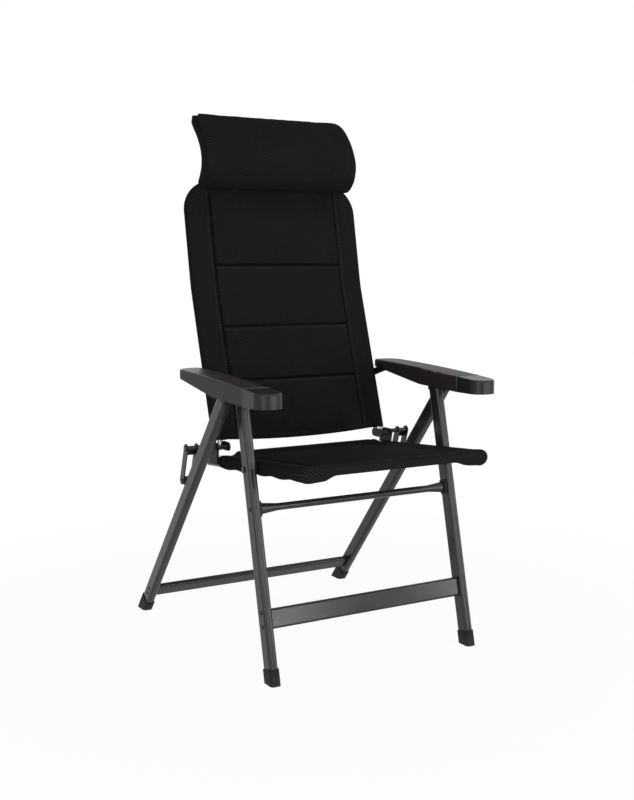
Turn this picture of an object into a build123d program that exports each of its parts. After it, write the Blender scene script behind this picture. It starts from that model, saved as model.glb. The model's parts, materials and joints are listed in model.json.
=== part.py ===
from build123d import *
import math
import os

# Folding high-back camp chair. Millimetres, +Z up, the sitter looks along -Y, +X is the right of
# a viewer standing in front. Origin: on the floor, in the middle of the chair's outline.

# Driving dimensions: pivots and feet in the side view, as (Y, Z)
FRONT_FOOT_Y = -281.0
REAR_FOOT_Y = 356.0
FRONT_FOOT = (FRONT_FOOT_Y, 0.0)
REAR_FOOT = (REAR_FOOT_Y, 0.0)
APEX = (-143.0, 600.0)
SEAT_PIVOT = (-172.0, 440.0)
BACK_PIVOT = (46.0, 459.0)
HINGE_REACH = 24.0

# Driving dimensions: planes across the chair
FRONT_LEG_X = 255.0
REAR_LEG_X = 290.0
RAIL_X = 222.0

# Driving dimensions: leg tubes, bars and feet
LEG_WIDTH = 20.0
LEG_DEPTH = 34.0
LEG_CORNER = 6.0
LEG_WALL = 1.5
LEG_GROOVE_R = 4.0
LEG_GROOVE_DEEP = 0.9
LEG_HEAD_LENGTH = 16.0
LEG_HEAD_R = 15.0
LEG_PLUG_LENGTH = 18.0
FOOT_WALL = 2.5
FOOT_HEIGHT = 24.0
FOOT_SOLE = 4.0
LOWER_BAR_TALL = 43.0
LOWER_BAR_DEEP = 16.0
LOWER_BAR_Z = 131.0
UPPER_BAR_R = 8.0
UPPER_BAR_Z = 358.0
REAR_BAR_TALL = 36.0
REAR_BAR_DEEP = 14.0
REAR_BAR_Z = 58.0
BAR_CORNER = 5.0
LOWER_BAR_SCREWS = 30.0
REAR_BAR_SCREWS = 18.0
FLARE_TALL = 25.0
FLARE_DEEP = 12.0
FLARE_LENGTH = 42.0
SADDLE_TALL = 34.0
SADDLE_DEEP = 20.0
SADDLE_THICK = 5.0
SCREW_R = 2.5
SCREW_HEAD_R = 4.5
SCREW_HEAD_TALL = 1.6
SCREW_REACH = 6.0

# Driving dimensions: pins, shafts and running fits
RUNNING = 0.05
SIDE_GAP = 0.3
SOFT_GAP = 0.4
APEX_PIN_R = 5.0
APEX_SPACER_R = 8.0
SEAT_PIN_R = 4.0
PIN_HEAD_R = 7.0
PIN_HEAD_TALL = 2.0
SHAFT_R = 5.0
BUSH_WALL = 1.5

# Driving dimensions: seat
SEAT_SLOPE = 4.5
RAIL_WIDE = 22.0
RAIL_TALL = 26.0
RAIL_CORNER = 8.0
RAIL_WALL = 1.5
RAIL_BACK = 256.0
RAIL_FRONT = 196.0
RAIL_BEND = 40.0
RAIL_SPLIT_X = 176.0
FRONT_TUBE_TALL = 16.0
FRONT_TUBE_CORNER = 6.0
REAR_BRACE_R = 8.0
REAR_BRACE_AT = 201.0
END_CAP_LENGTH = 10.0
SLEEVE_WALL = 1.6
SLING_THICK = 3.0
SEAT_PAD_BACK = 180.0
SEAT_PAD_FRONT = 176.0
SEAT_PAD_HALF = 178.0
SEAT_PAD_EDGE = 3.0
SEAT_PAD_CROWN = 9.0
FRONT_ROLL_WALL = 4.0
HINGE_PLATE = 4.0
HINGE_EYE_R = 10.0
HINGE_FOOT_HALF = 26.0

# Driving dimensions: rear links
LINK_ALONG = 306.0
LINK_OFF = 25.0
LINK_R = 10.0
LINK_THICK = 2.5
LINK_LEG_GAP = 1.5
LINK_WEB_LENGTH = 22.0
EAR_R = 9.0
EAR_WIDTH = 16.0

# Driving dimensions: backrest
BACK_LEAN = 17.6
BACK_LEAN_TOP = 10.8
BACK_LOWER = 381.0
BACK_UPPER = 244.0
BACK_BEND = 200.0
SHOULDER_BEND = 62.0
BACK_TUBE_R = 11.0
BACK_TUBE_WALL = 1.5
BACK_SPLIT_X = 148.0
BACK_EYE = 13.0
BACK_SLEEVE_FROM = 15.0
BACK_SLING_OFF = 4.5
BACK_PAD_HALF = 168.0
BACK_PAD_SEAMS = (149.0, 280.0, 432.0)
BACK_PAD_FROM = 22.0
BACK_PAD_TO = 606.0
BACK_PAD_EDGE = 2.5
BACK_PAD_CROWN = 13.0
BACK_PAD_LOW_CROWN = 9.0

# Driving dimensions: armrests
ARM_INNER_X = 240.5
ARM_OUTER_X = 303.5
ARM_WALL = 2.4
ARM_REAR_Y = 105.0
ARM_SPLIT_Y = -246.0
ARM_FRONT_Y = -322.0
ARM_REAR_TOP = 637.5
ARM_MIDDLE_TOP = 631.2
ARM_FRONT_TOP = 617.0
ARM_REAR_BOTTOM = 620.5
ARM_DEEP_Y = -98.0
ARM_DEEP_BOTTOM = 591.0
ARM_FRONT_BOTTOM = 586.0
ARM_FRONT_R = 28.0
ARM_REAR_INNER_R = 12.0
ARM_REAR_OUTER_R = 38.0
ARM_EDGE_R = 4.5
ARM_LUG_R = 9.5
ARM_LUG_WIDE = 16.0
ARM_PIN_R = 4.0
ARM_BRACKET = 2.5
ARM_BRACKET_R = 8.5
RACK_NOTCHES = 7
RACK_NOTCH_R = 5.0
RACK_WIDE = 10.0
RECLINE_MAX = 36.0
RECLINE_ARM_RATIO = 0.2865

# Driving dimensions: headrest
HEADREST_HALF = 203.0
HEADREST_SHELL = 3.0
HEADREST_END_R = 26.0
HEADREST_ARM_X = 104.0
HEADREST_ARM_WIDE = 14.0
HEADREST_RING_R = 13.5
HEADREST_TOP_R = 24.0
HEAD_TOP_FRONT = (208.0, 1227.0)
HEAD_TOP = (222.0, 1225.0)
HEAD_TOP_REAR = (226.0, 1213.0)
HEAD_FRONT_MID = (147.0, 1171.0)
HEAD_FRONT = (123.0, 1116.0)
HEAD_LIP = (132.0, 1083.0)
HEAD_LOW_FRONT = (166.0, 1059.0)
HEAD_LOW_REAR = (190.0, 1076.0)
HEAD_REAR_MID = (173.0, 1130.0)


# Side-view helpers: points are (Y, Z) pairs
def add(p, direction, length):
    """Point reached from p by going length along a side-view direction."""
    return (p[0] + direction[0] * length, p[1] + direction[1] * length)


def unit(p, q):
    """Side-view direction from p to q."""
    span = math.dist(p, q)
    return ((q[0] - p[0]) / span, (q[1] - p[1]) / span)


def turn(p, centre, degrees):
    """Side-view point p turned about centre; positive brings the chair's front up."""
    a = math.radians(degrees)
    y, z = p[0] - centre[0], p[1] - centre[1]
    return (centre[0] + y * math.cos(a) + z * math.sin(a), centre[1] - y * math.sin(a) + z * math.cos(a))


def side(outline, x0, x1):
    """Solid of a side-view outline between two planes across the chair."""
    return extrude(Plane.YZ.offset(x0) * outline, amount=x1 - x0, dir=(1, 0, 0))


def poly(*points):
    """Side-view polygon, whichever way round its points run."""
    spun = sum(p[0] * q[1] - q[0] * p[1] for p, q in zip(points, points[1:] + points[:1]))
    return Polygon(*(points if spun > 0 else points[::-1]), align=None)


def disc(p, r):
    """Side-view circle."""
    return Pos(p[0], p[1]) * Circle(r)


def pin(p, r, x0, x1):
    """Round bar across the chair."""
    return side(disc(p, r), x0, x1)


def capsule(p, q, r):
    """Side-view slot outline with round ends at p and q."""
    middle = ((p[0] + q[0]) / 2, (p[1] + q[1]) / 2)
    angle = math.degrees(math.atan2(q[1] - p[1], q[0] - p[0]))
    return Pos(*middle) * Rot(0, 0, angle) * SlotCenterToCenter(math.dist(p, q), 2 * r)


def outline(*edges):
    """Side-view face bounded by a closed chain of edges."""
    return make_face(Curve() + list(edges))


def both(shape):
    """The shape of the +X side together with its mirror image."""
    return Compound(children=[shape, mirror(shape, about=Plane.YZ)])


nodes = {}


def keep(name, shape):
    """Register one node."""
    nodes[name] = shape


def keep_pair(name, shape):
    """Register the +X piece and its mirror image as a right and a left node."""
    nodes[name + "_right"] = shape
    nodes[name + "_left"] = mirror(shape, about=Plane.YZ)


class Leg:
    """A straight leg in the side view, from its ground point up to the apex."""

    def __init__(self, ground, x):
        self.ground = ground
        self.x = x
        self.up = unit(ground, APEX)
        self.rear = (self.up[1], -self.up[0])
        self.length = math.dist(ground, APEX)
        self.inner_x = x - LEG_WIDTH / 2
        self.outer_x = x + LEG_WIDTH / 2

    def point(self, along, off=0.0):
        """Side-view point at a distance up the leg and towards its rear face."""
        return add(add(self.ground, self.up, along), self.rear, off)

    def at_height(self, z):
        """Distance up the leg at which its axis is at height z."""
        return (z - self.ground[1]) / self.up[1]

    def plane(self, along):
        """Plane square to the leg; its X is across the chair, its Y is towards the rear."""
        y, z = self.point(along)
        return Plane(origin=(self.x, y, z), x_dir=(1, 0, 0), z_dir=(0, self.up[0], self.up[1]))

    def prism(self, grow, start, end):
        """The leg's section, grown by a wall, between two distances up the leg."""
        section = RectangleRounded(LEG_WIDTH + 2 * grow, LEG_DEPTH + 2 * grow, LEG_CORNER + grow)
        return extrude(self.plane(start) * section, amount=end - start)


front_leg = Leg(FRONT_FOOT, FRONT_LEG_X)
rear_leg = Leg(REAR_FOOT, REAR_LEG_X)
chair_half_width = REAR_LEG_X + LEG_WIDTH
below_floor = Pos(0, 0, -LEG_DEPTH) * Box(4 * chair_half_width, 8 * chair_half_width, 2 * LEG_DEPTH)


# Legs: hollow oval tubes, plastic heads at the apex and rubber feet
def tube_start(leg):
    """Distance up the leg at which the tube begins, clear of the foot's sole."""
    return LEG_DEPTH / 2 * abs(leg.up[0]) / leg.up[1] + FOOT_SOLE


def leg_tube(leg):
    """Hollow leg tube between the foot's sole and the head."""
    start = tube_start(leg)
    end = leg.length - LEG_HEAD_LENGTH
    return leg.prism(0, start, end) - leg.prism(-LEG_WALL, start, end)


def leg_groove(leg):
    """Shallow round groove down the middle of the leg's front face, from the foot up to the head."""
    start = tube_start(leg) + FOOT_HEIGHT
    place = Pos(0, LEG_GROOVE_DEEP - LEG_GROOVE_R - LEG_DEPTH / 2)
    return extrude(leg.plane(start) * place * Circle(LEG_GROOVE_R), amount=leg.length - start)


def leg_head(leg):
    """Plastic head: an eye about the apex pin, tapering to the tube, with a plug inside the tube."""
    end = leg.length - LEG_HEAD_LENGTH
    half = LEG_DEPTH / 2
    neck = poly(
        leg.point(end, -half),
        leg.point(end, half),
        leg.point(leg.length, LEG_HEAD_R),
        leg.point(leg.length, -LEG_HEAD_R),
    )
    head = side(neck + disc(APEX, LEG_HEAD_R), leg.inner_x, leg.outer_x)
    plug = leg.prism(-LEG_WALL - RUNNING, end - LEG_PLUG_LENGTH, end)
    return head + plug - pin(APEX, APEX_PIN_R + RUNNING, leg.inner_x, leg.outer_x)


def leg_foot(leg):
    """Rubber foot: a cap on the tube, cut level with the floor."""
    start = tube_start(leg)
    cap = leg.prism(FOOT_WALL, -LEG_DEPTH, start + FOOT_HEIGHT)
    return cap - below_floor - leg.prism(RUNNING, start, start + FOOT_HEIGHT)


def screw(p, x0, x1):
    """Screw across the chair: its shank from x0 to x1 and a low head outside x1."""
    return pin(p, SCREW_R, x0, x1) + pin(p, SCREW_HEAD_R, x1, x1 + SCREW_HEAD_TALL)


def screw_hole(p, leg):
    """Clearance hole for a screw through a leg."""
    return pin(p, SCREW_R + RUNNING, leg.inner_x, leg.outer_x)


def bar_across(leg, z, tall, deep):
    """Hollow flat bar across the chair between two legs, lying along the legs' slope."""
    y, z = leg.point(leg.at_height(z))
    plane = Plane(origin=(-leg.inner_x, y, z), x_dir=(0, leg.rear[0], leg.rear[1]), z_dir=(1, 0, 0))
    outer = RectangleRounded(deep, tall, BAR_CORNER)
    inner = RectangleRounded(deep - 2 * LEG_WALL, tall - 2 * LEG_WALL, BAR_CORNER - LEG_WALL)
    return extrude(plane * (outer - inner), amount=2 * leg.inner_x)


def bar_screw_points(leg, z, apart):
    """The two screw places at one end of a flat bar."""
    middle = leg.at_height(z)
    return [leg.point(middle - apart / 2), leg.point(middle + apart / 2)]


# Front frame
upper_bar_at = front_leg.point(front_leg.at_height(UPPER_BAR_Z))
lower_bar_screws = bar_screw_points(front_leg, LOWER_BAR_Z, LOWER_BAR_SCREWS)
front_tube = leg_tube(front_leg) - leg_groove(front_leg)
for place in lower_bar_screws + [upper_bar_at]:
    front_tube -= screw_hole(place, front_leg)
front_tube -= pin(SEAT_PIVOT, SEAT_PIN_R + RUNNING, front_leg.inner_x, front_leg.outer_x)
keep_pair("front_leg", front_tube)
keep_pair("front_foot", leg_foot(front_leg))
keep("front_leg_heads", both(leg_head(front_leg)))
keep("front_lower_bar", bar_across(front_leg, LOWER_BAR_Z, LOWER_BAR_TALL, LOWER_BAR_DEEP))

saddle_inner_x = front_leg.inner_x - SADDLE_THICK
flare_inner_x = saddle_inner_x - FLARE_LENGTH


def across_at(x):
    """Plane across the chair at the upper bar; its X is towards the leg's rear, its Y is up the leg."""
    return Plane(origin=(x, *upper_bar_at), x_dir=(0, *front_leg.rear), z_dir=(1, 0, 0))


flare_end = Ellipse(FLARE_DEEP / 2, FLARE_TALL / 2)
flare = loft([across_at(flare_inner_x) * Circle(UPPER_BAR_R), across_at(saddle_inner_x) * flare_end])
flare += extrude(across_at(saddle_inner_x) * flare_end, amount=SADDLE_THICK)
upper_bar = pin(upper_bar_at, UPPER_BAR_R, -flare_inner_x, flare_inner_x)
upper_bar -= pin(upper_bar_at, UPPER_BAR_R - LEG_WALL, -flare_inner_x, flare_inner_x)
upper_bar += flare + mirror(flare, about=Plane.YZ)
upper_bar -= pin(upper_bar_at, SCREW_R + RUNNING, -front_leg.inner_x, front_leg.inner_x)
keep("front_upper_bar", upper_bar)
saddle_face = RectangleRounded(SADDLE_DEEP, SADDLE_TALL, BAR_CORNER)
saddle_face -= Ellipse(FLARE_DEEP / 2 + RUNNING, FLARE_TALL / 2 + RUNNING)
keep("upper_bar_saddles", both(extrude(across_at(saddle_inner_x) * saddle_face, amount=SADDLE_THICK)))

front_screws = [
    screw(place, front_leg.inner_x - SCREW_REACH, front_leg.outer_x)
    for place in lower_bar_screws + [upper_bar_at]
]
keep("front_frame_screws", Compound(children=[both(s) for s in front_screws]))

apex_from = front_leg.inner_x
apex_to = rear_leg.outer_x
keep("apex_pins", both(pin(APEX, APEX_PIN_R, apex_from, apex_to)))
spacer = pin(APEX, APEX_SPACER_R, front_leg.outer_x, rear_leg.inner_x - SIDE_GAP)
spacer -= pin(APEX, APEX_PIN_R + RUNNING, front_leg.outer_x, rear_leg.inner_x)
keep("apex_spacers", both(spacer))

# Rear frame
rear_bar_screws = bar_screw_points(rear_leg, REAR_BAR_Z, REAR_BAR_SCREWS)
rear_tube = leg_tube(rear_leg)
for place in rear_bar_screws:
    rear_tube -= screw_hole(place, rear_leg)
keep_pair("rear_leg", rear_tube)
keep_pair("rear_foot", leg_foot(rear_leg))
keep("rear_leg_heads", both(leg_head(rear_leg)))
keep("rear_bar", bar_across(rear_leg, REAR_BAR_Z, REAR_BAR_TALL, REAR_BAR_DEEP))
rear_screws = [
    screw(place, rear_leg.inner_x - SCREW_REACH, rear_leg.outer_x)
    for place in rear_bar_screws
]
keep("rear_bar_screws", Compound(children=[both(s) for s in rear_screws]))

link_foot_along = rear_leg.length - LINK_ALONG
link_foot = rear_leg.point(link_foot_along, LINK_OFF)
ear_half = EAR_WIDTH / 2
ear_root = LEG_DEPTH / 2 - LEG_CORNER
ear_base = poly(
    rear_leg.point(link_foot_along - EAR_R, ear_root),
    rear_leg.point(link_foot_along + EAR_R, ear_root),
    rear_leg.point(link_foot_along + EAR_R, LINK_OFF),
    rear_leg.point(link_foot_along - EAR_R, LINK_OFF),
)
ear = side(ear_base + disc(link_foot, EAR_R), REAR_LEG_X - ear_half, REAR_LEG_X + ear_half)
ear -= rear_leg.prism(RUNNING, link_foot_along - 2 * EAR_R, link_foot_along + 2 * EAR_R)
keep("link_ears", both(ear))

# Rear links: two flat plates astride the rear leg, joined by a web near the upper end
link_down = unit(BACK_PIVOT, link_foot)
link_rear = (-link_down[1], link_down[0])
web_in = add(BACK_PIVOT, link_rear, LINK_R - LINK_THICK)
web_out = add(BACK_PIVOT, link_rear, LINK_R)
plate_outer_x = rear_leg.outer_x + LINK_LEG_GAP
plate_inner_x = rear_leg.inner_x - LINK_LEG_GAP
link_shape = capsule(BACK_PIVOT, link_foot, LINK_R) - disc(BACK_PIVOT, SHAFT_R + RUNNING)
link_plates = side(link_shape, plate_outer_x, plate_outer_x + LINK_THICK)
link_plates += side(link_shape, plate_inner_x - LINK_THICK, plate_inner_x)
web = poly(web_in, web_out, add(web_out, link_down, LINK_WEB_LENGTH), add(web_in, link_down, LINK_WEB_LENGTH))
link_plates += side(web, plate_inner_x - LINK_THICK, plate_outer_x + LINK_THICK)
keep_pair("rear_link", link_plates)
rivet_outer_x = plate_outer_x + LINK_THICK
rivet_inner_x = plate_inner_x - LINK_THICK
rivet_out = pin(link_foot, SCREW_HEAD_R, rivet_outer_x, rivet_outer_x + PIN_HEAD_TALL)
rivet_in = pin(link_foot, SCREW_HEAD_R, rivet_inner_x - PIN_HEAD_TALL, rivet_inner_x)
keep("link_rivets", Compound(children=[both(rivet_out), both(rivet_in)]))


# Seat: worked out flat in the seat's own plane, X across, Y to the rear from the seat pivot, Z up
slope = math.radians(SEAT_SLOPE)
seat_plane = Plane(
    origin=(0, *SEAT_PIVOT), x_dir=(1, 0, 0), z_dir=(0, math.sin(slope), math.cos(slope))
)
seat_place = seat_plane.location


def rail_section(grow):
    """The seat rail's section, grown by a wall."""
    return RectangleRounded(RAIL_WIDE + 2 * grow, RAIL_TALL + 2 * grow, RAIL_CORNER + grow)


def front_section(grow):
    """The front tube's flatter section, level with the rails' tops and grown by a wall."""
    lift = (RAIL_TALL - FRONT_TUBE_TALL) / 2
    return Pos(0, lift) * RectangleRounded(
        RAIL_WIDE + 2 * grow, FRONT_TUBE_TALL + 2 * grow, FRONT_TUBE_CORNER + grow
    )


def rail_run(section, start, end):
    """A straight run of a rail section on the +X side, from start forward to end."""
    plane = Plane(origin=(RAIL_X, start, 0), x_dir=(1, 0, 0), z_dir=(0, -1, 0))
    return extrude(plane * section, amount=start - end)


def front_run(section):
    """A straight run of the front tube's section, between the ends of the two rails."""
    plane = Plane(origin=(-RAIL_SPLIT_X, -RAIL_FRONT, 0), x_dir=(0, 1, 0), z_dir=(1, 0, 0))
    return extrude(plane * section, amount=2 * RAIL_SPLIT_X)


def seat_pivot_hole(clearance):
    """Hole across the rail for the seat's pivot pin."""
    return seat_place.inverse() * pin(SEAT_PIVOT, SEAT_PIN_R + clearance, 0, chair_half_width)


def rail_sweep(section, back):
    """A rail section swept forward along one side, round the front corner and in to the front tube."""
    path = Line((RAIL_X, back), (RAIL_X, RAIL_BEND - RAIL_FRONT))
    path += RadiusArc(path @ 1, (RAIL_X - RAIL_BEND, -RAIL_FRONT), RAIL_BEND)
    path += Line((RAIL_X - RAIL_BEND, -RAIL_FRONT), (RAIL_SPLIT_X, -RAIL_FRONT))
    start = Plane(origin=(RAIL_X, back, 0), x_dir=(1, 0, 0), z_dir=(0, -1, 0))
    return sweep(start * section, path=path)


rail_wall = rail_section(0) - rail_section(-RAIL_WALL)
rail = rail_sweep(rail_wall, RAIL_BACK) - seat_pivot_hole(RUNNING)
keep_pair("seat_rail", seat_place * rail)
keep("seat_front_tube", seat_place * front_run(front_section(0) - front_section(-RAIL_WALL)))
brace_half = RAIL_X - RAIL_WIDE / 2
brace_plane = Plane(origin=(-brace_half, REAR_BRACE_AT, 0), x_dir=(0, 1, 0), z_dir=(1, 0, 0))
brace_ring = Circle(REAR_BRACE_R) - Circle(REAR_BRACE_R - RAIL_WALL)
brace = extrude(brace_plane * brace_ring, amount=2 * brace_half)
keep("seat_rear_brace", seat_place * brace)
cap_plug = rail_run(rail_section(-RAIL_WALL - RUNNING), RAIL_BACK, RAIL_BACK - END_CAP_LENGTH)
cap_plate = rail_run(rail_section(0), RAIL_BACK + END_CAP_LENGTH / 2, RAIL_BACK)
keep("rail_end_caps", both(seat_place * (cap_plug + cap_plate)))

# Seat pivot pins through the rails and front legs
sleeve_out = RAIL_WIDE / 2 + SIDE_GAP + SLEEVE_WALL
pivot_pin = pin(SEAT_PIVOT, SEAT_PIN_R, RAIL_X - RAIL_WIDE / 2, front_leg.outer_x + SIDE_GAP)
pivot_pin += pin(
    SEAT_PIVOT, PIN_HEAD_R, front_leg.outer_x + SIDE_GAP, front_leg.outer_x + SIDE_GAP + PIN_HEAD_TALL
)
keep("seat_pivot_pins", both(pivot_pin))
pivot_spacer = pin(SEAT_PIVOT, PIN_HEAD_R, RAIL_X + sleeve_out + SIDE_GAP, front_leg.inner_x - SIDE_GAP)
pivot_spacer -= pin(SEAT_PIVOT, SEAT_PIN_R + RUNNING, RAIL_X, front_leg.inner_x)
keep("seat_pivot_spacers", both(pivot_spacer))

# Hinge plates on the rails' bare rear ends: an eye in front for the back's levers, and one behind it
# for the shaft that the rear link turns on
hinge_x = RAIL_X + BACK_TUBE_R + SIDE_GAP + SLEEVE_WALL + SOFT_GAP
rail_side_x = RAIL_X + RAIL_WIDE / 2
fold_pivot = (BACK_PIVOT[0] - HINGE_REACH, BACK_PIVOT[1])
pivot_flat = seat_plane.to_local_coords(Vector(0, *BACK_PIVOT))
fold_flat = seat_plane.to_local_coords(Vector(0, *fold_pivot))
flat_side = RAIL_TALL / 2 - RAIL_CORNER
foot_outline = poly(
    (pivot_flat.Y - HINGE_FOOT_HALF, -flat_side),
    (pivot_flat.Y + HINGE_FOOT_HALF, -flat_side),
    (pivot_flat.Y + HINGE_FOOT_HALF, flat_side),
    (pivot_flat.Y - HINGE_FOOT_HALF, flat_side),
)
fan_outline = poly(
    (pivot_flat.Y - HINGE_FOOT_HALF, flat_side),
    (pivot_flat.Y + HINGE_FOOT_HALF, flat_side),
    (pivot_flat.Y + HINGE_EYE_R, pivot_flat.Z),
    (fold_flat.Y - HINGE_EYE_R, fold_flat.Z),
)
eye_outline = capsule((fold_flat.Y, fold_flat.Z), (pivot_flat.Y, pivot_flat.Z), HINGE_EYE_R)
hinge_plate = side(foot_outline, rail_side_x, hinge_x + HINGE_PLATE)
hinge_plate += side(fan_outline + eye_outline + foot_outline, hinge_x, hinge_x + HINGE_PLATE)
hinge_outer_x = hinge_x + HINGE_PLATE
hinge_plate = seat_place * hinge_plate
for place in (fold_pivot, BACK_PIVOT):
    hinge_plate -= pin(place, SHAFT_R + RUNNING, hinge_x, hinge_outer_x)
keep_pair("seat_hinge_plate", hinge_plate)
shaft_to = plate_outer_x + LINK_THICK + SIDE_GAP
shaft = pin(BACK_PIVOT, SHAFT_R, hinge_x, shaft_to)
shaft += pin(BACK_PIVOT, PIN_HEAD_R, shaft_to, shaft_to + PIN_HEAD_TALL)
keep("link_shafts", both(shaft))

# Back levers inside the back tubes: the front pin turns in the seat's hinge plate as the chair folds,
# and the back reclines on the rear pin
lever_to = RAIL_X - BACK_TUBE_R - SIDE_GAP
lever_pin_to = hinge_outer_x + SIDE_GAP
lever = side(capsule(fold_pivot, BACK_PIVOT, HINGE_EYE_R), lever_to - HINGE_PLATE, lever_to)
lever += pin(BACK_PIVOT, SHAFT_R, lever_to, RAIL_X + BACK_TUBE_R)
lever += pin(fold_pivot, SHAFT_R, lever_to, lever_pin_to)
lever += pin(fold_pivot, PIN_HEAD_R, lever_pin_to, lever_pin_to + PIN_HEAD_TALL)
keep("back_levers", both(lever))

# Seat cloth: sleeves on the rails and front tube, a mesh sling and a crowned pad on it
sleeve_back = pivot_flat.Y - HINGE_FOOT_HALF - SOFT_GAP
sleeve_section = rail_section(SIDE_GAP + SLEEVE_WALL) - rail_section(SIDE_GAP)
sleeve = rail_sweep(sleeve_section, sleeve_back) - seat_pivot_hole(SIDE_GAP)
keep_pair("seat_sleeve", seat_place * sleeve)
front_roll = front_run(front_section(FRONT_ROLL_WALL) - front_section(SIDE_GAP))
keep("seat_front_roll", seat_place * front_roll)

sling_half = RAIL_X - sleeve_out - SOFT_GAP
sling_top = RAIL_TALL / 2 - SLING_THICK
sling_front = -RAIL_FRONT + RAIL_WIDE / 2 + FRONT_ROLL_WALL + SOFT_GAP
sling_back = REAR_BRACE_AT - REAR_BRACE_R - SOFT_GAP
sling_centre = (sling_front + sling_back) / 2
sling_plan = RectangleRounded(2 * sling_half, sling_back - sling_front, RAIL_BEND)
seat_sling = extrude(Pos(0, sling_centre, sling_top - SLING_THICK) * sling_plan, amount=SLING_THICK)
keep("seat_sling", seat_place * seat_sling)


def crowned_strip(half, base, edge, crown):
    """Outline across a pad: flat below, thin at the sides and crowned in the middle."""
    return outline(
        Line((half, base), (-half, base)),
        Line((-half, base), (-half, base + edge)),
        ThreePointArc((-half, base + edge), (0, base + crown), (half, base + edge)),
        Line((half, base + edge), (half, base)),
    )


pad_base = sling_top + SOFT_GAP
pad_across = Plane(origin=(0, SEAT_PAD_BACK, 0), x_dir=(1, 0, 0), z_dir=(0, -1, 0)) * crowned_strip(
    SEAT_PAD_HALF, pad_base, SEAT_PAD_EDGE, SEAT_PAD_CROWN
)
pad_middle = (SEAT_PAD_BACK - SEAT_PAD_FRONT) / 2
pad_along = outline(
    Line((SEAT_PAD_BACK, pad_base), (-SEAT_PAD_FRONT, pad_base)),
    Line((-SEAT_PAD_FRONT, pad_base), (-SEAT_PAD_FRONT, pad_base + SEAT_PAD_EDGE)),
    ThreePointArc(
        (-SEAT_PAD_FRONT, pad_base + SEAT_PAD_EDGE),
        (pad_middle, pad_base + SEAT_PAD_CROWN),
        (SEAT_PAD_BACK, pad_base + SEAT_PAD_EDGE),
    ),
    Line((SEAT_PAD_BACK, pad_base + SEAT_PAD_EDGE), (SEAT_PAD_BACK, pad_base)),
)
seat_pad = side(pad_along, -SEAT_PAD_HALF, SEAT_PAD_HALF)
seat_pad &= extrude(pad_across, amount=SEAT_PAD_BACK + SEAT_PAD_FRONT)
keep("seat_pad", seat_place * seat_pad)


# Backrest: two straight runs in the side view with a gentle bend between them
def lean(degrees):
    """Side-view direction going up and leaning back."""
    return (math.sin(math.radians(degrees)), math.cos(math.radians(degrees)))


low_run = lean(BACK_LEAN)
high_run = lean(BACK_LEAN_TOP)
bend_point = add(BACK_PIVOT, low_run, BACK_LOWER)
top_point = add(bend_point, high_run, BACK_UPPER)


def back_point(along, off=0.0):
    """Side-view point at a distance up the back and towards the sitter."""
    if along < BACK_LOWER:
        return add(add(BACK_PIVOT, low_run, along), (-low_run[1], low_run[0]), off)
    if along > BACK_LOWER:
        return add(add(bend_point, high_run, along - BACK_LOWER), (-high_run[1], high_run[0]), off)
    middle = lean((BACK_LEAN + BACK_LEAN_TOP) / 2)
    return add(bend_point, (-middle[1], middle[0]), off)


def tube_path(start):
    """Centre line of one back tube from a distance above its pivot to the split in the top bar."""
    return FilletPolyline(
        (RAIL_X, *back_point(start)),
        (RAIL_X, *bend_point),
        (RAIL_X, *top_point),
        (BACK_SPLIT_X, *top_point),
        radius=(BACK_BEND, SHOULDER_BEND),
    )


def ring(outer, inner):
    """Ring section of a round tube."""
    return Circle(outer) - Circle(inner)


def back_run(section, start):
    """A round section swept along one back tube."""
    path = tube_path(start)
    return sweep(Plane(origin=path @ 0, x_dir=(1, 0, 0), z_dir=path % 0) * section, path=path)


back_tube = back_run(ring(BACK_TUBE_R, BACK_TUBE_R - BACK_TUBE_WALL), BACK_EYE)
top_bar = pin(top_point, BACK_TUBE_R, -BACK_SPLIT_X, BACK_SPLIT_X)
top_bar -= pin(top_point, BACK_TUBE_R - BACK_TUBE_WALL, -BACK_SPLIT_X, BACK_SPLIT_X)
keep("back_top_bar", top_bar)

# Hinge eyes plugged into the tubes' lower ends, turning on bushes round the levers' rear pins
bush_r = SHAFT_R + RUNNING + BUSH_WALL
eye_from = RAIL_X - BACK_TUBE_R
eye_to = RAIL_X + BACK_TUBE_R
eye_neck = Plane(origin=(RAIL_X, *BACK_PIVOT), x_dir=(1, 0, 0), z_dir=(0, *low_run))
eye = pin(BACK_PIVOT, BACK_TUBE_R, eye_from, eye_to)
eye &= extrude(eye_neck * Circle(BACK_TUBE_R), amount=BACK_EYE, both=True)
eye += extrude(eye_neck * Circle(BACK_TUBE_R), amount=BACK_EYE)
eye += extrude(eye_neck * Circle(BACK_TUBE_R - BACK_TUBE_WALL - RUNNING), amount=2 * BACK_EYE)
eye -= pin(BACK_PIVOT, bush_r + RUNNING, eye_from, eye_to)
keep("back_hinge_eyes", both(eye))
bush = pin(BACK_PIVOT, bush_r, eye_from, eye_to)
bush -= pin(BACK_PIVOT, SHAFT_R + RUNNING, eye_from, eye_to)
keep("back_bushes", both(bush))

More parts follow.
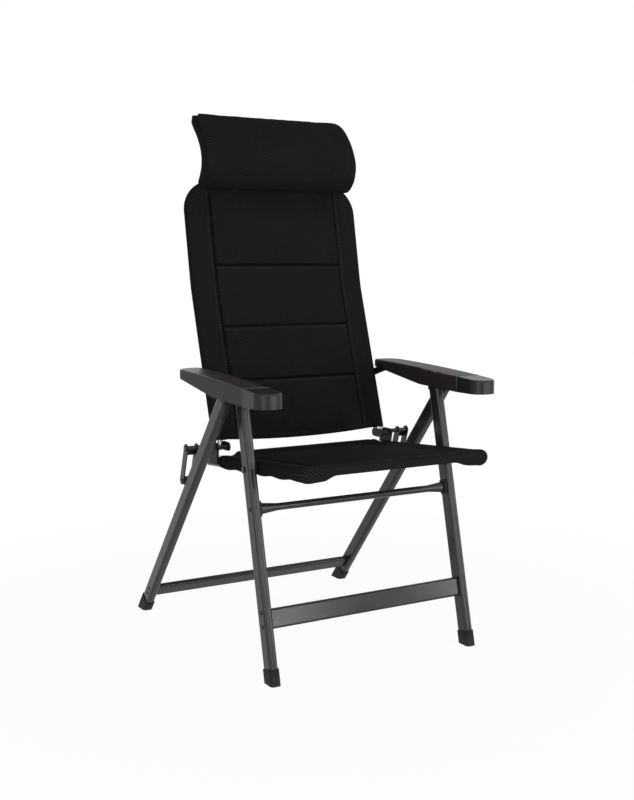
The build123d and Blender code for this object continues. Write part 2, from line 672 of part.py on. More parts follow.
# Back cloth: sleeves on the tubes, a mesh sling between them and the quilted pad in front
sleeve_r = BACK_TUBE_R + SIDE_GAP + SLEEVE_WALL
back_sleeve = back_run(ring(sleeve_r, BACK_TUBE_R + SIDE_GAP), BACK_SLEEVE_FROM)
back_sling_half = RAIL_X - math.sqrt(sleeve_r**2 - BACK_SLING_OFF**2) - SIDE_GAP
back_sling_to = BACK_LOWER + BACK_UPPER - HEADREST_RING_R - SOFT_GAP
sling_front_off = BACK_SLING_OFF + SLING_THICK
back_sheet = poly(
    back_point(BACK_SLEEVE_FROM, BACK_SLING_OFF),
    back_point(BACK_LOWER, BACK_SLING_OFF),
    back_point(back_sling_to, BACK_SLING_OFF),
    back_point(back_sling_to, sling_front_off),
    back_point(BACK_LOWER, sling_front_off),
    back_point(BACK_SLEEVE_FROM, sling_front_off),
)
sling_tall = back_point(back_sling_to)[1]
front_view = Pos(0, sling_tall / 2) * RectangleRounded(
    2 * back_sling_half, sling_tall, SHOULDER_BEND - BACK_TUBE_R
)
back_sling = side(back_sheet, -back_sling_half, back_sling_half)
back_sling &= extrude(Plane.XZ * front_view, amount=sling_tall, both=True)
keep("back_sling", back_sling)


def channel(start, end, crown):
    """One sewn channel of the back pad: thin along its seams and crowned between them."""
    base = sling_front_off + SOFT_GAP
    rear = [back_point(start, base), back_point(end, base)]
    if start < BACK_LOWER < end:
        rear.insert(1, back_point(BACK_LOWER, base))
    front = [back_point(start, base + BACK_PAD_EDGE), back_point(end, base + BACK_PAD_EDGE)]
    summit = back_point((start + end) / 2, base + crown)
    face = outline(
        Polyline(*rear, front[1]),
        ThreePointArc(front[1], summit, front[0]),
        Line(front[0], rear[0]),
    )
    up = unit(rear[0], rear[-1])
    across = Plane(origin=(0, *back_point(start)), x_dir=(1, 0, 0), z_dir=(0, *up))
    strip = crowned_strip(BACK_PAD_HALF, base - crown, crown + BACK_PAD_EDGE, 2 * crown)
    strip = mirror(strip, about=Plane.XZ)
    tall = math.dist(rear[0], rear[-1]) + 2 * crown
    return side(face, -BACK_PAD_HALF, BACK_PAD_HALF) & Pos(0, *[-crown * c for c in up]) * extrude(
        across * strip, amount=tall
    )


pad_edges = (BACK_PAD_FROM, *BACK_PAD_SEAMS, BACK_PAD_TO)
pad_crowns = [BACK_PAD_LOW_CROWN] + [BACK_PAD_CROWN] * len(BACK_PAD_SEAMS)
back_pad = Part()
for start, end, crown in zip(pad_edges, pad_edges[1:], pad_crowns):
    back_pad += channel(start, end, crown)
keep("back_pad", back_pad)

# Armrest brackets on the back tubes, and links from them to the armrests' rear lugs. Apex, seat
# pivot, levers' front pins and brackets' pins stand at the corners of a parallelogram.
arm_pivot = (APEX[0] + BACK_PIVOT[0] - SEAT_PIVOT[0], APEX[1] + BACK_PIVOT[1] - SEAT_PIVOT[1])
bracket_pivot = (arm_pivot[0] - HINGE_REACH, arm_pivot[1])
above_pivot = (bracket_pivot[0] - BACK_PIVOT[0], bracket_pivot[1] - BACK_PIVOT[1])
bracket_root = back_point(above_pivot[0] * low_run[0] + above_pivot[1] * low_run[1])
bracket_x = RAIL_X + sleeve_r + SIDE_GAP
bracket_outer_x = bracket_x + ARM_BRACKET
bracket = side(capsule(bracket_root, bracket_pivot, ARM_BRACKET_R), bracket_x, bracket_outer_x)
bracket += pin(bracket_root, SCREW_R, RAIL_X + BACK_TUBE_R - BACK_TUBE_WALL, bracket_x)
bracket -= pin(bracket_pivot, ARM_PIN_R + RUNNING, bracket_x, bracket_outer_x)
keep("arm_brackets", both(bracket))
keep_pair("back_tube", back_tube - pin(bracket_root, SCREW_R + RUNNING, RAIL_X, bracket_x))
keep_pair("back_sleeve", back_sleeve - pin(bracket_root, SCREW_R + SIDE_GAP, RAIL_X, bracket_x))

lug_from = ARM_INNER_X
lug_to = lug_from + ARM_LUG_WIDE
arm_link_x = bracket_outer_x + SIDE_GAP
arm_link_outer_x = ARM_INNER_X - SIDE_GAP
arm_pin_from = bracket_x - SIDE_GAP
arm_pin_to = lug_to + SIDE_GAP
arm_pin_head_r = ARM_PIN_R + BUSH_WALL
arm_link = side(capsule(bracket_pivot, arm_pivot, ARM_BRACKET_R), arm_link_x, arm_link_outer_x)
arm_link += pin(bracket_pivot, ARM_PIN_R, arm_pin_from, arm_link_x)
arm_link += pin(bracket_pivot, arm_pin_head_r, arm_pin_from - PIN_HEAD_TALL, arm_pin_from)
arm_link += pin(arm_pivot, ARM_PIN_R, arm_link_outer_x, arm_pin_to)
arm_link += pin(arm_pivot, arm_pin_head_r, arm_pin_to, arm_pin_to + PIN_HEAD_TALL)
keep("arm_links", both(arm_link))
arm_bush_r = ARM_PIN_R + RUNNING + BUSH_WALL
arm_bush = pin(arm_pivot, arm_bush_r, lug_from, lug_to)
arm_bush -= pin(arm_pivot, ARM_PIN_R + RUNNING, lug_from, lug_to)
keep("arm_bushes", both(arm_bush))


# Armrests: a moulded shell open below, a front cap and a notched rack that rests on the apex spacer
def arm_outline(inset, drop):
    """Side-view outline of the armrest, drawn in by a wall at the top and ends and dropped below."""
    return outline(
        ThreePointArc(
            (ARM_FRONT_Y + inset, ARM_FRONT_TOP - inset),
            ((ARM_FRONT_Y + ARM_REAR_Y) / 2, ARM_MIDDLE_TOP - inset),
            (ARM_REAR_Y - inset, ARM_REAR_TOP - inset),
        ),
        Polyline(
            (ARM_REAR_Y - inset, ARM_REAR_TOP - inset),
            (ARM_REAR_Y - inset, ARM_REAR_BOTTOM - drop),
            (ARM_DEEP_Y, ARM_DEEP_BOTTOM - drop),
            (ARM_SPLIT_Y, ARM_FRONT_BOTTOM - drop),
            (ARM_FRONT_Y + inset, ARM_FRONT_BOTTOM - drop),
            (ARM_FRONT_Y + inset, ARM_FRONT_TOP - inset),
        ),
    )


arm_wide = ARM_OUTER_X - ARM_INNER_X
arm_long = ARM_REAR_Y - ARM_FRONT_Y
arm_centre_x = (ARM_INNER_X + ARM_OUTER_X) / 2
arm_centre = Pos(arm_centre_x, (ARM_REAR_Y + ARM_FRONT_Y) / 2)


def arm_column(inset):
    """Upright column of the armrest's plan outline, drawn in by a wall: round in front and behind outside."""
    plan = Rectangle(arm_wide - 2 * inset, arm_long - 2 * inset)
    plan = fillet(plan.vertices().group_by(Axis.Y)[0], ARM_FRONT_R - inset)
    plan = fillet(plan.vertices().group_by(Axis.Y)[-1].sort_by(Axis.X)[0], ARM_REAR_INNER_R - inset)
    plan = fillet(plan.vertices().group_by(Axis.X)[-1].sort_by(Axis.Y)[-1], ARM_REAR_OUTER_R - inset)
    return extrude(arm_centre * plan, amount=2 * APEX[1])


arm_body = side(arm_outline(0, 0), ARM_INNER_X, ARM_OUTER_X) & arm_column(0)
arm_hollow = side(arm_outline(ARM_WALL, arm_wide), ARM_INNER_X, ARM_OUTER_X) & arm_column(ARM_WALL)
arm_body = fillet(arm_body.faces().sort_by(Axis.Z)[-1].edges(), ARM_EDGE_R)
arm_shell = arm_body - arm_hollow
front_room = Pos(arm_centre_x, ARM_SPLIT_Y - arm_long / 2, APEX[1]) * Box(2 * arm_wide, arm_long, arm_long)
arm_cap = arm_shell & front_room
arm_shell -= front_room
lug = side(
    disc(arm_pivot, ARM_LUG_R)
    + poly(
        (arm_pivot[0] - ARM_LUG_R, arm_pivot[1]),
        (arm_pivot[0] + ARM_LUG_R, arm_pivot[1]),
        (arm_pivot[0] + ARM_LUG_R, ARM_REAR_TOP - ARM_WALL),
        (arm_pivot[0] - ARM_LUG_R, ARM_REAR_TOP - ARM_WALL),
    ),
    lug_from,
    lug_to,
)
arm_shell += lug & arm_column(0)
arm_shell -= pin(arm_pivot, arm_bush_r + RUNNING, lug_from, lug_to)
arm_shell -= pin(arm_pivot, arm_bush_r + 2 * SIDE_GAP, lug_to, lug_to + PIN_HEAD_TALL + 2 * SIDE_GAP)
keep_pair("armrest", arm_shell)
keep_pair("armrest_cap", arm_cap)


def rack_place(recline):
    """Where the apex lies in the armrest when the back is reclined by some degrees."""
    moved = turn(arm_pivot, BACK_PIVOT, recline)
    seen = turn(APEX, moved, -RECLINE_ARM_RATIO * recline)
    return (seen[0] + arm_pivot[0] - moved[0], seen[1] + arm_pivot[1] - moved[1])


rack_points = [rack_place(RECLINE_MAX * i / (RACK_NOTCHES - 1)) for i in range(RACK_NOTCHES)]
rack_reach = 2 * APEX_SPACER_R
rack_lift = APEX_SPACER_R + 2 * SIDE_GAP
rack_low = [(p[0], p[1] + rack_lift) for p in rack_points]
rack_rear = (rack_low[0][0] + rack_reach, rack_low[0][1])
rack_front = (rack_low[-1][0] - rack_reach, rack_low[-1][1])
rack_block = outline(
    Line(rack_rear, rack_low[0]),
    ThreePointArc(rack_low[0], rack_low[RACK_NOTCHES // 2], rack_low[-1]),
    Line(rack_low[-1], rack_front),
    Polyline(rack_front, (rack_front[0], ARM_REAR_TOP), (rack_rear[0], ARM_REAR_TOP), rack_rear),
)
for place in rack_low:
    rack_block -= disc(place, RACK_NOTCH_R)
rack_x = (front_leg.outer_x + rear_leg.inner_x - RACK_WIDE) / 2
rack = side(rack_block, rack_x, rack_x + RACK_WIDE) & (arm_hollow - front_room)
keep_pair("armrest_rack", rack)

# Headrest: a curved shell with a pad in front, hinged on the back's top bar


def shell_off(p):
    """A point of the headrest's rear line, moved forward by the shell's thickness."""
    return (p[0] - HEADREST_SHELL, p[1])


pad_rear = [shell_off(p) for p in (HEAD_LOW_REAR, HEAD_REAR_MID, HEAD_TOP_REAR)]
shell_outline = outline(
    ThreePointArc(HEAD_LOW_REAR, HEAD_REAR_MID, HEAD_TOP_REAR),
    Line(HEAD_TOP_REAR, pad_rear[2]),
    ThreePointArc(pad_rear[2], pad_rear[1], pad_rear[0]),
    Line(pad_rear[0], HEAD_LOW_REAR),
)
head_outline = outline(
    ThreePointArc(pad_rear[2], HEAD_TOP, HEAD_TOP_FRONT),
    ThreePointArc(HEAD_TOP_FRONT, HEAD_FRONT_MID, HEAD_FRONT),
    ThreePointArc(HEAD_FRONT, HEAD_LIP, HEAD_LOW_FRONT),
    Line(HEAD_LOW_FRONT, pad_rear[0]),
    ThreePointArc(pad_rear[0], pad_rear[1], pad_rear[2]),
)
headrest_pad = side(head_outline, -2 * HEADREST_HALF, 2 * HEADREST_HALF)
pad_box = headrest_pad.bounding_box()
pad_depth = pad_box.size.Y + SIDE_GAP
head_plan = RectangleRounded(2 * HEADREST_HALF, 2 * pad_depth, HEADREST_END_R)
head_form = extrude(Pos(0, pad_box.max.Y) * head_plan, amount=2 * HEAD_TOP[1])
head_tall = 2 * pad_box.size.Z
head_face = Pos(0, pad_box.max.Z - head_tall / 2) * RectangleRounded(2 * HEADREST_HALF, head_tall, HEADREST_TOP_R)
head_form &= extrude(Plane.XZ * head_face, amount=2 * HEAD_TOP[0], both=True)
keep("headrest_pad", headrest_pad & head_form)
headrest_shell = side(shell_outline, -HEADREST_HALF + HEADREST_END_R, HEADREST_HALF - HEADREST_END_R)
keep("headrest_shell", headrest_shell)
arm_seat = add(HEAD_LOW_REAR, unit(HEAD_LOW_REAR, HEAD_REAR_MID), math.dist(HEAD_LOW_REAR, HEAD_REAR_MID) / 2)
arm_half = HEADREST_ARM_WIDE / 2
head_arm = side(
    capsule(top_point, arm_seat, HEADREST_RING_R / 2) + disc(top_point, HEADREST_RING_R),
    HEADREST_ARM_X - arm_half,
    HEADREST_ARM_X + arm_half,
)
head_arm -= pin(top_point, BACK_TUBE_R + RUNNING, HEADREST_ARM_X - arm_half, HEADREST_ARM_X + arm_half)
head_arm -= side(shell_outline + head_outline, -HEADREST_HALF, HEADREST_HALF)
keep("headrest_hinges", both(head_arm))

os.makedirs("parts", exist_ok=True)
for name, shape in nodes.items():
    export_step(shape, f"parts/{name}.step")
whole = Compound(children=list(nodes.values())).bounding_box()
print(len(nodes), "nodes", whole.min, whole.max)
print("fold pivot", fold_pivot, "bracket pivot", bracket_pivot, "armrest pivot", arm_pivot)
print("link foot", link_foot, "headrest pivot", top_point)
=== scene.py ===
# %% [markdown]
# This lesson dresses a folding camp chair. The frame of tubes, pins and mouldings comes ready made from
# the CAD model, in metres, with the floor at Z = 0 and the sitter looking along -Y. What is added here is
# everything soft, the finishes, the studio and the camera. Loading the frame first means that every new
# piece can be placed by the real sizes of what carries it.

# %% Load the frame
import json
import math
import bmesh
import bpy
import numpy as np
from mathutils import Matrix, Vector


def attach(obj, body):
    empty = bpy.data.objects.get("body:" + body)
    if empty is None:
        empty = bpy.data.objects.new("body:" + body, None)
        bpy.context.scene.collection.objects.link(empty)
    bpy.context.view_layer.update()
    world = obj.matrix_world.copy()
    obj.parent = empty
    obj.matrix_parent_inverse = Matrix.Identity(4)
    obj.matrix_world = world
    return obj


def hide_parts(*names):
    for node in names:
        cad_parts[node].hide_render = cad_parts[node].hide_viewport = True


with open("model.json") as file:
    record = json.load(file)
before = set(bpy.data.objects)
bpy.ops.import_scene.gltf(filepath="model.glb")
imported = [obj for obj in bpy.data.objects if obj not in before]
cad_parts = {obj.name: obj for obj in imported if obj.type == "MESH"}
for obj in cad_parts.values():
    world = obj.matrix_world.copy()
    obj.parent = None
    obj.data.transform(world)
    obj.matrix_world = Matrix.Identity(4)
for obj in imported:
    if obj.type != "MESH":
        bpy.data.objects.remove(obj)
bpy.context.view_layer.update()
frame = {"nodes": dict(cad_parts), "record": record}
nodes = frame["nodes"]
scene = bpy.context.scene
scene.view_settings.view_transform = "Standard"

# %% [markdown]
# The photograph is taken from the front left, a little above the seat, with a fairly long lens. A camera
# could be matched by eye, but its place was worked out from the four feet, the seat corners and the back,
# so it is simply written down: a point, a direction, and a lens measured on the picture's long side.

# %% Camera
CAMERA_PLACE = (-1.3156, -2.3042, 0.8736)
CAMERA_LOOK = (0.4966, 0.8598, -0.1186)
LENS = 50.77
SENSOR = 36.0

camera_data = bpy.data.cameras.new("photo_camera")
camera_data.sensor_fit = "VERTICAL"
camera_data.sensor_height = SENSOR
camera_data.lens = LENS
camera = bpy.data.objects.new("photo_camera", camera_data)
scene.collection.objects.link(camera)
camera.location = CAMERA_PLACE
camera.rotation_euler = Vector(CAMERA_LOOK).to_track_quat("-Z", "Y").to_euler()
scene.camera = camera
print("camera at", tuple(round(v, 2) for v in CAMERA_PLACE), "lens", LENS)

# %% [markdown]
# All the new shapes are grids of points. A cushion is two grids, a front and a rear, that meet along
# their sides, so one helper sews two such grids into a closed skin and lays a flat pattern (UV, in
# metres) over it. Doing this with whole arrays keeps the formula of each shape in one place, and Blender
# only receives the finished points.

# %% Sew two grids of points into a closed skin
WELD_DISTANCE = 1e-5
REAR_PATTERN_SHIFT = 1.0


def smoothstep(t):
    """0 below 0, 1 above 1, and an S-shaped rise between: 3t^2 - 2t^3."""
    t = np.clip(t, 0.0, 1.0)
    return t * t * (3.0 - 2.0 * t)


def bell(t, width):
    """1 at 0, falling off on both sides: e to the minus (t / width) squared."""
    return np.exp(-((t / width) ** 2))


def round_off(t, power):
    """Quarter of a superellipse: 1 at t = 0, falling to 0 at t = 1, the squarer the higher its power."""
    return (1 - t**power) ** (1 / power)


def mirrored(half):
    """Places on both sides of the middle, from those of one side, which start at the middle."""
    return np.concatenate([-half[:0:-1], half])


def grid_squares(rows, cols):
    """Point numbers of a grid of rows and columns, and the four corners of each of its squares."""
    index = np.arange(rows * cols).reshape(rows, cols)
    corners = [index[:-1, :-1], index[:-1, 1:], index[1:, 1:], index[1:, :-1]]
    return index, np.stack(corners, -1).reshape(-1, 4)


def add_mesh(name, points, faces, corner_uv, finish, painted_shading=None):
    """Puts points, faces, one UV per face corner and, if given, one value of painted seam shade and
    highlight per point into a new smooth-shaded object at the origin."""
    mesh = bpy.data.meshes.new(name)
    mesh.from_pydata(points.tolist(), [], faces)
    mesh.uv_layers.new(name="UVMap").data.foreach_set("uv", np.asarray(corner_uv, np.float32).ravel())
    mesh.polygons.foreach_set("use_smooth", np.ones(len(mesh.polygons), bool))
    if painted_shading is not None:
        # The seam attribute holds painted shade (below 0) and painted highlight (above 0) for the cloth's
        # colour.
        seam = mesh.attributes.new("seam", "FLOAT", "POINT")
        seam.data.foreach_set("value", np.asarray(painted_shading, np.float32).ravel())
    mesh.materials.append(finish)
    mesh.update()
    piece = bpy.data.objects.new(name, mesh)
    scene.collection.objects.link(piece)
    return piece


def merge_doubles(piece):
    """Welds points that lie on each other, then turns all faces outwards."""
    work = bmesh.new()
    work.from_mesh(piece.data)
    bmesh.ops.remove_doubles(work, verts=work.verts, dist=WELD_DISTANCE)
    bmesh.ops.dissolve_degenerate(work, dist=WELD_DISTANCE / 10, edges=work.edges)
    bmesh.ops.recalc_face_normals(work, faces=work.faces)
    work.to_mesh(piece.data)
    work.free()


def cloth_pattern(points, shift, even):
    """Flat pattern of a grid: the length of cloth to each point, from the middle column and from the
    first row. An even pattern takes the mean length of all rows and of all columns, so that the weave
    runs straight."""
    steps_across = np.linalg.norm(np.diff(points, axis=1, prepend=points[:, :1]), axis=2)
    steps_along = np.linalg.norm(np.diff(points, axis=0, prepend=points[:1]), axis=2)
    across = np.cumsum(steps_across, axis=1)
    along = np.cumsum(steps_along, axis=0)
    if even:
        across = np.broadcast_to(across.mean(axis=0), across.shape)
        along = np.broadcast_to(along.mean(axis=1)[:, None], along.shape)
    middle = points.shape[1] // 2
    return np.stack([across - across[:, middle:middle + 1] + shift, along], -1)


def sew(name, front, rear, finish, painted_shading, even=True):
    """Closed skin of a front and a rear grid of the same shape: both grids' own squares, and a strip of
    squares along each of the four sides, from a front edge point to the rear point of the same place. The
    painted shading of the front grid's points is below 0 for painted shade in a seam and above 0 for a
    painted highlight on the ridge beside it."""
    index, squares = grid_squares(*front.shape[:2])
    behind = index.size
    rim = np.concatenate([index[0, :], index[1:, -1], index[-1, -2::-1], index[-2::-1, 0]])
    strip = np.stack([rim[:-1], rim[:-1] + behind, rim[1:] + behind, rim[1:]], -1)
    faces = np.concatenate([squares, (squares + behind)[:, ::-1], strip])
    patterns = [cloth_pattern(front, 0.0, even), cloth_pattern(rear, REAR_PATTERN_SHIFT, even)]
    uv = np.concatenate([pattern.reshape(-1, 2) for pattern in patterns])
    points = np.concatenate([front.reshape(-1, 3), rear.reshape(-1, 3)])
    painted_shading = np.concatenate([painted_shading.ravel(), np.zeros(behind)])
    piece = add_mesh(name, points, faces.tolist(), uv[faces.ravel()], finish, painted_shading)
    merge_doubles(piece)
    print(name, len(piece.data.vertices), "points")
    return piece


# %% [markdown]
# The frame is powder-coated aluminium: a satin anthracite with a faint orange-peel skin. A flat grey
# would look like plastic, so a very fine noise moves the surface, a broad one moves the colour a little,
# and the roughness varies. Mouldings get the same recipe with a coarser grain, and the rubber feet pick
# up some dust near the ground.

# %% Painted and moulded finishes
GRAIN_STRENGTH = 0.5
MOTTLE_SPREAD = 0.08
MOTTLE_SIZE = 0.05
DUST_HEIGHT = 0.03


def start_finish(name, colour, roughness, metallic=0.0, specular=0.5):
    """A new material with its plain values set on the shader, and its node tree for the details."""
    finish = bpy.data.materials.new(name)
    finish.use_nodes = True
    tree = finish.node_tree
    shader = tree.nodes["Principled BSDF"]
    shader.inputs["Base Color"].default_value = (*colour, 1.0)
    shader.inputs["Roughness"].default_value = roughness
    shader.inputs["Metallic"].default_value = metallic
    shader.inputs["Specular IOR Level"].default_value = specular
    return finish, tree, shader


def add_node(tree, kind, **values):
    """A node of a kind, with the named inputs or settings filled in."""
    node = tree.nodes.new(kind)
    for key, value in values.items():
        if key in node.inputs:
            node.inputs[key].default_value = value
        else:
            setattr(node, key, value)
    return node


def remap(tree, value, old=(0.0, 1.0), new=(0.0, 1.0), kind="LINEAR"):
    """Moves a socket's value from an old range to a new one, and gives the socket of the result."""
    node = add_node(tree, "ShaderNodeMapRange", interpolation_type=kind)
    for socket, number in zip(["From Min", "From Max", "To Min", "To Max"], [*old, *new]):
        node.inputs[socket].default_value = number
    tree.links.new(value, node.inputs["Value"])
    return node.outputs["Result"]


def two_colours(tree, value, low, high):
    """Blends two colours, each given with its position, by a socket's value, and gives their socket."""
    ramp = add_node(tree, "ShaderNodeValToRGB")
    for stop, (position, colour) in zip(ramp.color_ramp.elements, (low, high)):
        stop.position = position
        stop.color = (*colour, 1.0)
    tree.links.new(value, ramp.inputs["Fac"])
    return ramp.outputs["Color"]


def grain(tree, shader, size, depth):
    """Fine noise on Object coordinates as a bump: grains of one size and depth in metres."""
    place = add_node(tree, "ShaderNodeTexCoord")
    noise = add_node(tree, "ShaderNodeTexNoise", Scale=1.0 / size, Detail=2.0, Roughness=0.6)
    bump = add_node(tree, "ShaderNodeBump", Strength=GRAIN_STRENGTH, Distance=depth)
    tree.links.new(place.outputs["Object"], noise.inputs["Vector"])
    tree.links.new(noise.outputs["Fac"], bump.inputs["Height"])
    tree.links.new(bump.outputs["Normal"], shader.inputs["Normal"])
    return place


def mottle(tree, shader, place, colour, rough):
    """Broad noise that moves the colour by a share of itself and the roughness between two values."""
    noise = add_node(tree, "ShaderNodeTexNoise", Scale=1.0 / MOTTLE_SIZE, Detail=4.0, Roughness=0.55)
    tree.links.new(place.outputs["Object"], noise.inputs["Vector"])
    dark = [c * (1 - MOTTLE_SPREAD) for c in colour]
    light = [c * (1 + MOTTLE_SPREAD) for c in colour]
    tint = two_colours(tree, noise.outputs["Fac"], (0.3, dark), (0.7, light))
    tree.links.new(tint, shader.inputs["Base Color"])
    tree.links.new(remap(tree, noise.outputs["Fac"], new=rough), shader.inputs["Roughness"])
    return tint


def ground_dust(tree, shader, place, tint, colour):
    """Pale dust that fades out above a height over the floor, broken up by noise."""
    split = add_node(tree, "ShaderNodeSeparateXYZ")
    specks = add_node(tree, "ShaderNodeTexNoise", Scale=60.0, Detail=6.0, Roughness=0.7)
    share = add_node(tree, "ShaderNodeMath", operation="MULTIPLY")
    blend = add_node(tree, "ShaderNodeMix", data_type="RGBA")
    blend.inputs["B"].default_value = (*colour, 1.0)
    tree.links.new(place.outputs["Object"], split.inputs[0])
    tree.links.new(place.outputs["Object"], specks.inputs["Vector"])
    tree.links.new(remap(tree, split.outputs["Z"], old=(DUST_HEIGHT, 0.0)), share.inputs[0])
    tree.links.new(specks.outputs["Fac"], share.inputs[1])
    tree.links.new(share.outputs[0], blend.inputs["Factor"])
    tree.links.new(tint, blend.inputs["A"])
    tree.links.new(blend.outputs["Result"], shader.inputs["Base Color"])


def coated(name, colour, grain_size, grain_depth, rough, specular=0.5, dust=None):
    """A painted, moulded or rubber finish: fine grain, broad mottling and, if asked, floor dust."""
    finish, tree, shader = start_finish(name, colour, rough[0], specular=specular)
    place = grain(tree, shader, grain_size, grain_depth)
    tint = mottle(tree, shader, place, colour, rough)
    if dust:
        ground_dust(tree, shader, place, tint, dust)
    return finish


# Each finish has its colour, the size and depth of its grain, and its lowest and highest roughness.
finishes = {
    "frame": coated(
        "anthracite_powder_coat", (0.0235, 0.0226, 0.0248), 0.0009, 0.00004, (0.18, 0.26), specular=0.28
    ),
    "black_steel": coated(
        "blackened_steel", (0.012, 0.012, 0.013), 0.0008, 0.00005, (0.30, 0.42), specular=0.35
    ),
    "black_plastic": coated(
        "black_moulding", (0.009, 0.009, 0.010), 0.0007, 0.00008, (0.45, 0.58), specular=0.22
    ),
    "grey_plastic": coated(
        "grey_moulding", (0.13, 0.13, 0.135), 0.0007, 0.00008, (0.45, 0.55), specular=0.35
    ),
    "arm_plastic": coated(
        "armrest_moulding", (0.0270, 0.0225, 0.0215), 0.0006, 0.00008, (0.42, 0.52), specular=0.12
    ),
    "arm_cap_plastic": coated(
        "armrest_cap_moulding", (0.0200, 0.0185, 0.0185), 0.0006, 0.00006, (0.28, 0.36), specular=0.22
    ),
    "foot_rubber": coated(
        "foot_rubber", (0.009, 0.009, 0.009), 0.0010, 0.00015, (0.62, 0.75), specular=0.2,
        dust=(0.05, 0.046, 0.042),
    ),
}
print(len(finishes), "coated finishes")

# %% [markdown]
# Bare metal shows in one place: the bright drawn tube of the back where it leaves its sleeve. Drawing
# leaves fine lines along a tube, so the noise is stretched before it reaches the roughness.

# %% Bare metal
ALONG_TUBE = (1.0, 0.08, 0.03)


def drawn_metal(name, colour, rough, stretch):
    """Metal with roughness from a noise that is stretched along one direction, as drawing leaves it."""
    finish, tree, shader = start_finish(name, colour, rough[0], metallic=1.0)
    place = add_node(tree, "ShaderNodeTexCoord")
    turn = add_node(tree, "ShaderNodeMapping", Scale=stretch)
    lines = add_node(tree, "ShaderNodeTexNoise", Scale=900.0, Detail=3.0)
    bump = add_node(tree, "ShaderNodeBump", Strength=0.15, Distance=0.00003)
    tree.links.new(place.outputs["Object"], turn.inputs["Vector"])
    tree.links.new(turn.outputs["Vector"], lines.inputs["Vector"])
    tree.links.new(remap(tree, lines.outputs["Fac"], new=rough), shader.inputs["Roughness"])
    tree.links.new(lines.outputs["Fac"], bump.inputs["Height"])
    tree.links.new(bump.outputs["Normal"], shader.inputs["Normal"])
    return finish


finishes["bright_metal"] = drawn_metal("bright_drawn_tube", (0.36, 0.36, 0.37), (0.20, 0.34), ALONG_TUBE)
print("bare metal done")

# %% [markdown]
# The cover is black spacer mesh: a knitted net with rows of small round openings set on the diagonal.
# Real holes would need millions of faces. A cell pattern with no randomness gives the same rows of dots,
# turned to the slant of each cloth, and its distance to the cell centre is both the colour and the depth
# of each opening. It reads the piece's own UV map in metres, so the net follows the cloth round a tube
# and over a seam.

# %% Mesh cloth
THREAD = (0.0200, 0.0195, 0.0203)
FLAT_THREAD = (0.0120, 0.0120, 0.0128)
ROLL_THREAD = (0.0250, 0.0240, 0.0250)
HOLE = (0.0014, 0.0014, 0.0015)
HOLE_EDGE = 0.22
THREAD_EDGE = 0.42
CLOTH_SHADES = (0.82, 1.15)


def spacer_mesh(name, thread, pitch, turn, depth, rough):
    """Net of round openings: distance to the nearest point of a square lattice, turned in the cloth's
    plane. A broad noise varies its tone, and the seam attribute darkens it with painted shade in the seams
    and lightens it with a painted highlight beside them, by its own share."""
    finish, tree, shader = start_finish(name, thread, rough, specular=0.02)
    place = add_node(tree, "ShaderNodeUVMap", uv_map="UVMap")
    spin = add_node(tree, "ShaderNodeMapping", Rotation=(0.0, 0.0, math.radians(turn)))
    cells = add_node(tree, "ShaderNodeTexVoronoi", voronoi_dimensions="2D", Randomness=0.0, Scale=1 / pitch)
    shade = add_node(tree, "ShaderNodeTexNoise", Scale=9.0, Detail=4.0)
    # Painted shade in the seams and painted highlight beside them, read from the seam attribute.
    painted_seam_node = add_node(tree, "ShaderNodeAttribute", attribute_name="seam")
    lit = add_node(tree, "ShaderNodeMath", operation="MULTIPLY_ADD")
    tint = add_node(tree, "ShaderNodeVectorMath", operation="SCALE")
    bump = add_node(tree, "ShaderNodeBump", Strength=0.8, Distance=depth)
    tree.links.new(place.outputs["UV"], spin.inputs["Vector"])
    tree.links.new(spin.outputs["Vector"], cells.inputs["Vector"])
    tree.links.new(place.outputs["UV"], shade.inputs["Vector"])
    net = two_colours(tree, cells.outputs["Distance"], (HOLE_EDGE, HOLE), (THREAD_EDGE, thread))
    level = remap(tree, shade.outputs["Fac"], new=CLOTH_SHADES)
    tree.links.new(net, tint.inputs[0])
    tree.links.new(level, lit.inputs[0])
    tree.links.new(painted_seam_node.outputs["Fac"], lit.inputs[1])
    tree.links.new(level, lit.inputs[2])
    tree.links.new(lit.outputs[0], tint.inputs["Scale"])
    tree.links.new(tint.outputs["Vector"], shader.inputs["Base Color"])
    tree.links.new(cells.outputs["Distance"], bump.inputs["Height"])
    tree.links.new(bump.outputs["Normal"], shader.inputs["Normal"])
    return finish


panel_mesh = spacer_mesh("panel_spacer_mesh", THREAD, pitch=0.0050, turn=45.0, depth=0.0008, rough=0.85)
flat_mesh = spacer_mesh("plain_mesh_cloth", FLAT_THREAD, pitch=0.0032, turn=30.0, depth=0.0003, rough=0.88)
roll_mesh = spacer_mesh("coarse_roll_mesh", ROLL_THREAD, pitch=0.0062, turn=58.0, depth=0.0010, rough=0.82)
finishes["mesh_padding"] = panel_mesh
finishes["mesh_cloth"] = flat_mesh
print("mesh cloths done")

# %% [markdown]
# The frame's record names a material for every piece. The finishes could be set piece by piece, but one
# loop over the record reaches them all, also those that are hidden inside a hinge.

# %% Finish every node that the frame shows
for part in frame["record"]["subparts"]:
    for slot in nodes[part["node"]].material_slots:
        slot.material = finishes[part["material_slot"]]

# %% [markdown]
# Padded mesh swells between the rows of stitching that hold it down. The swell could be a smooth formula,
# but real cloth puckers near a seam and pulls tight at corners. So a flat sheet is pinned along its
# border and seams, given a little spare cloth and blown up by Cloth with no gravity. Only its heights are
# kept, as a map from 0 to 1, and the cover reads them.

# %% Blow up a sewn sheet
STITCH_GRID = 0.0065
PRESSURE = 3.0
STEPS = 20


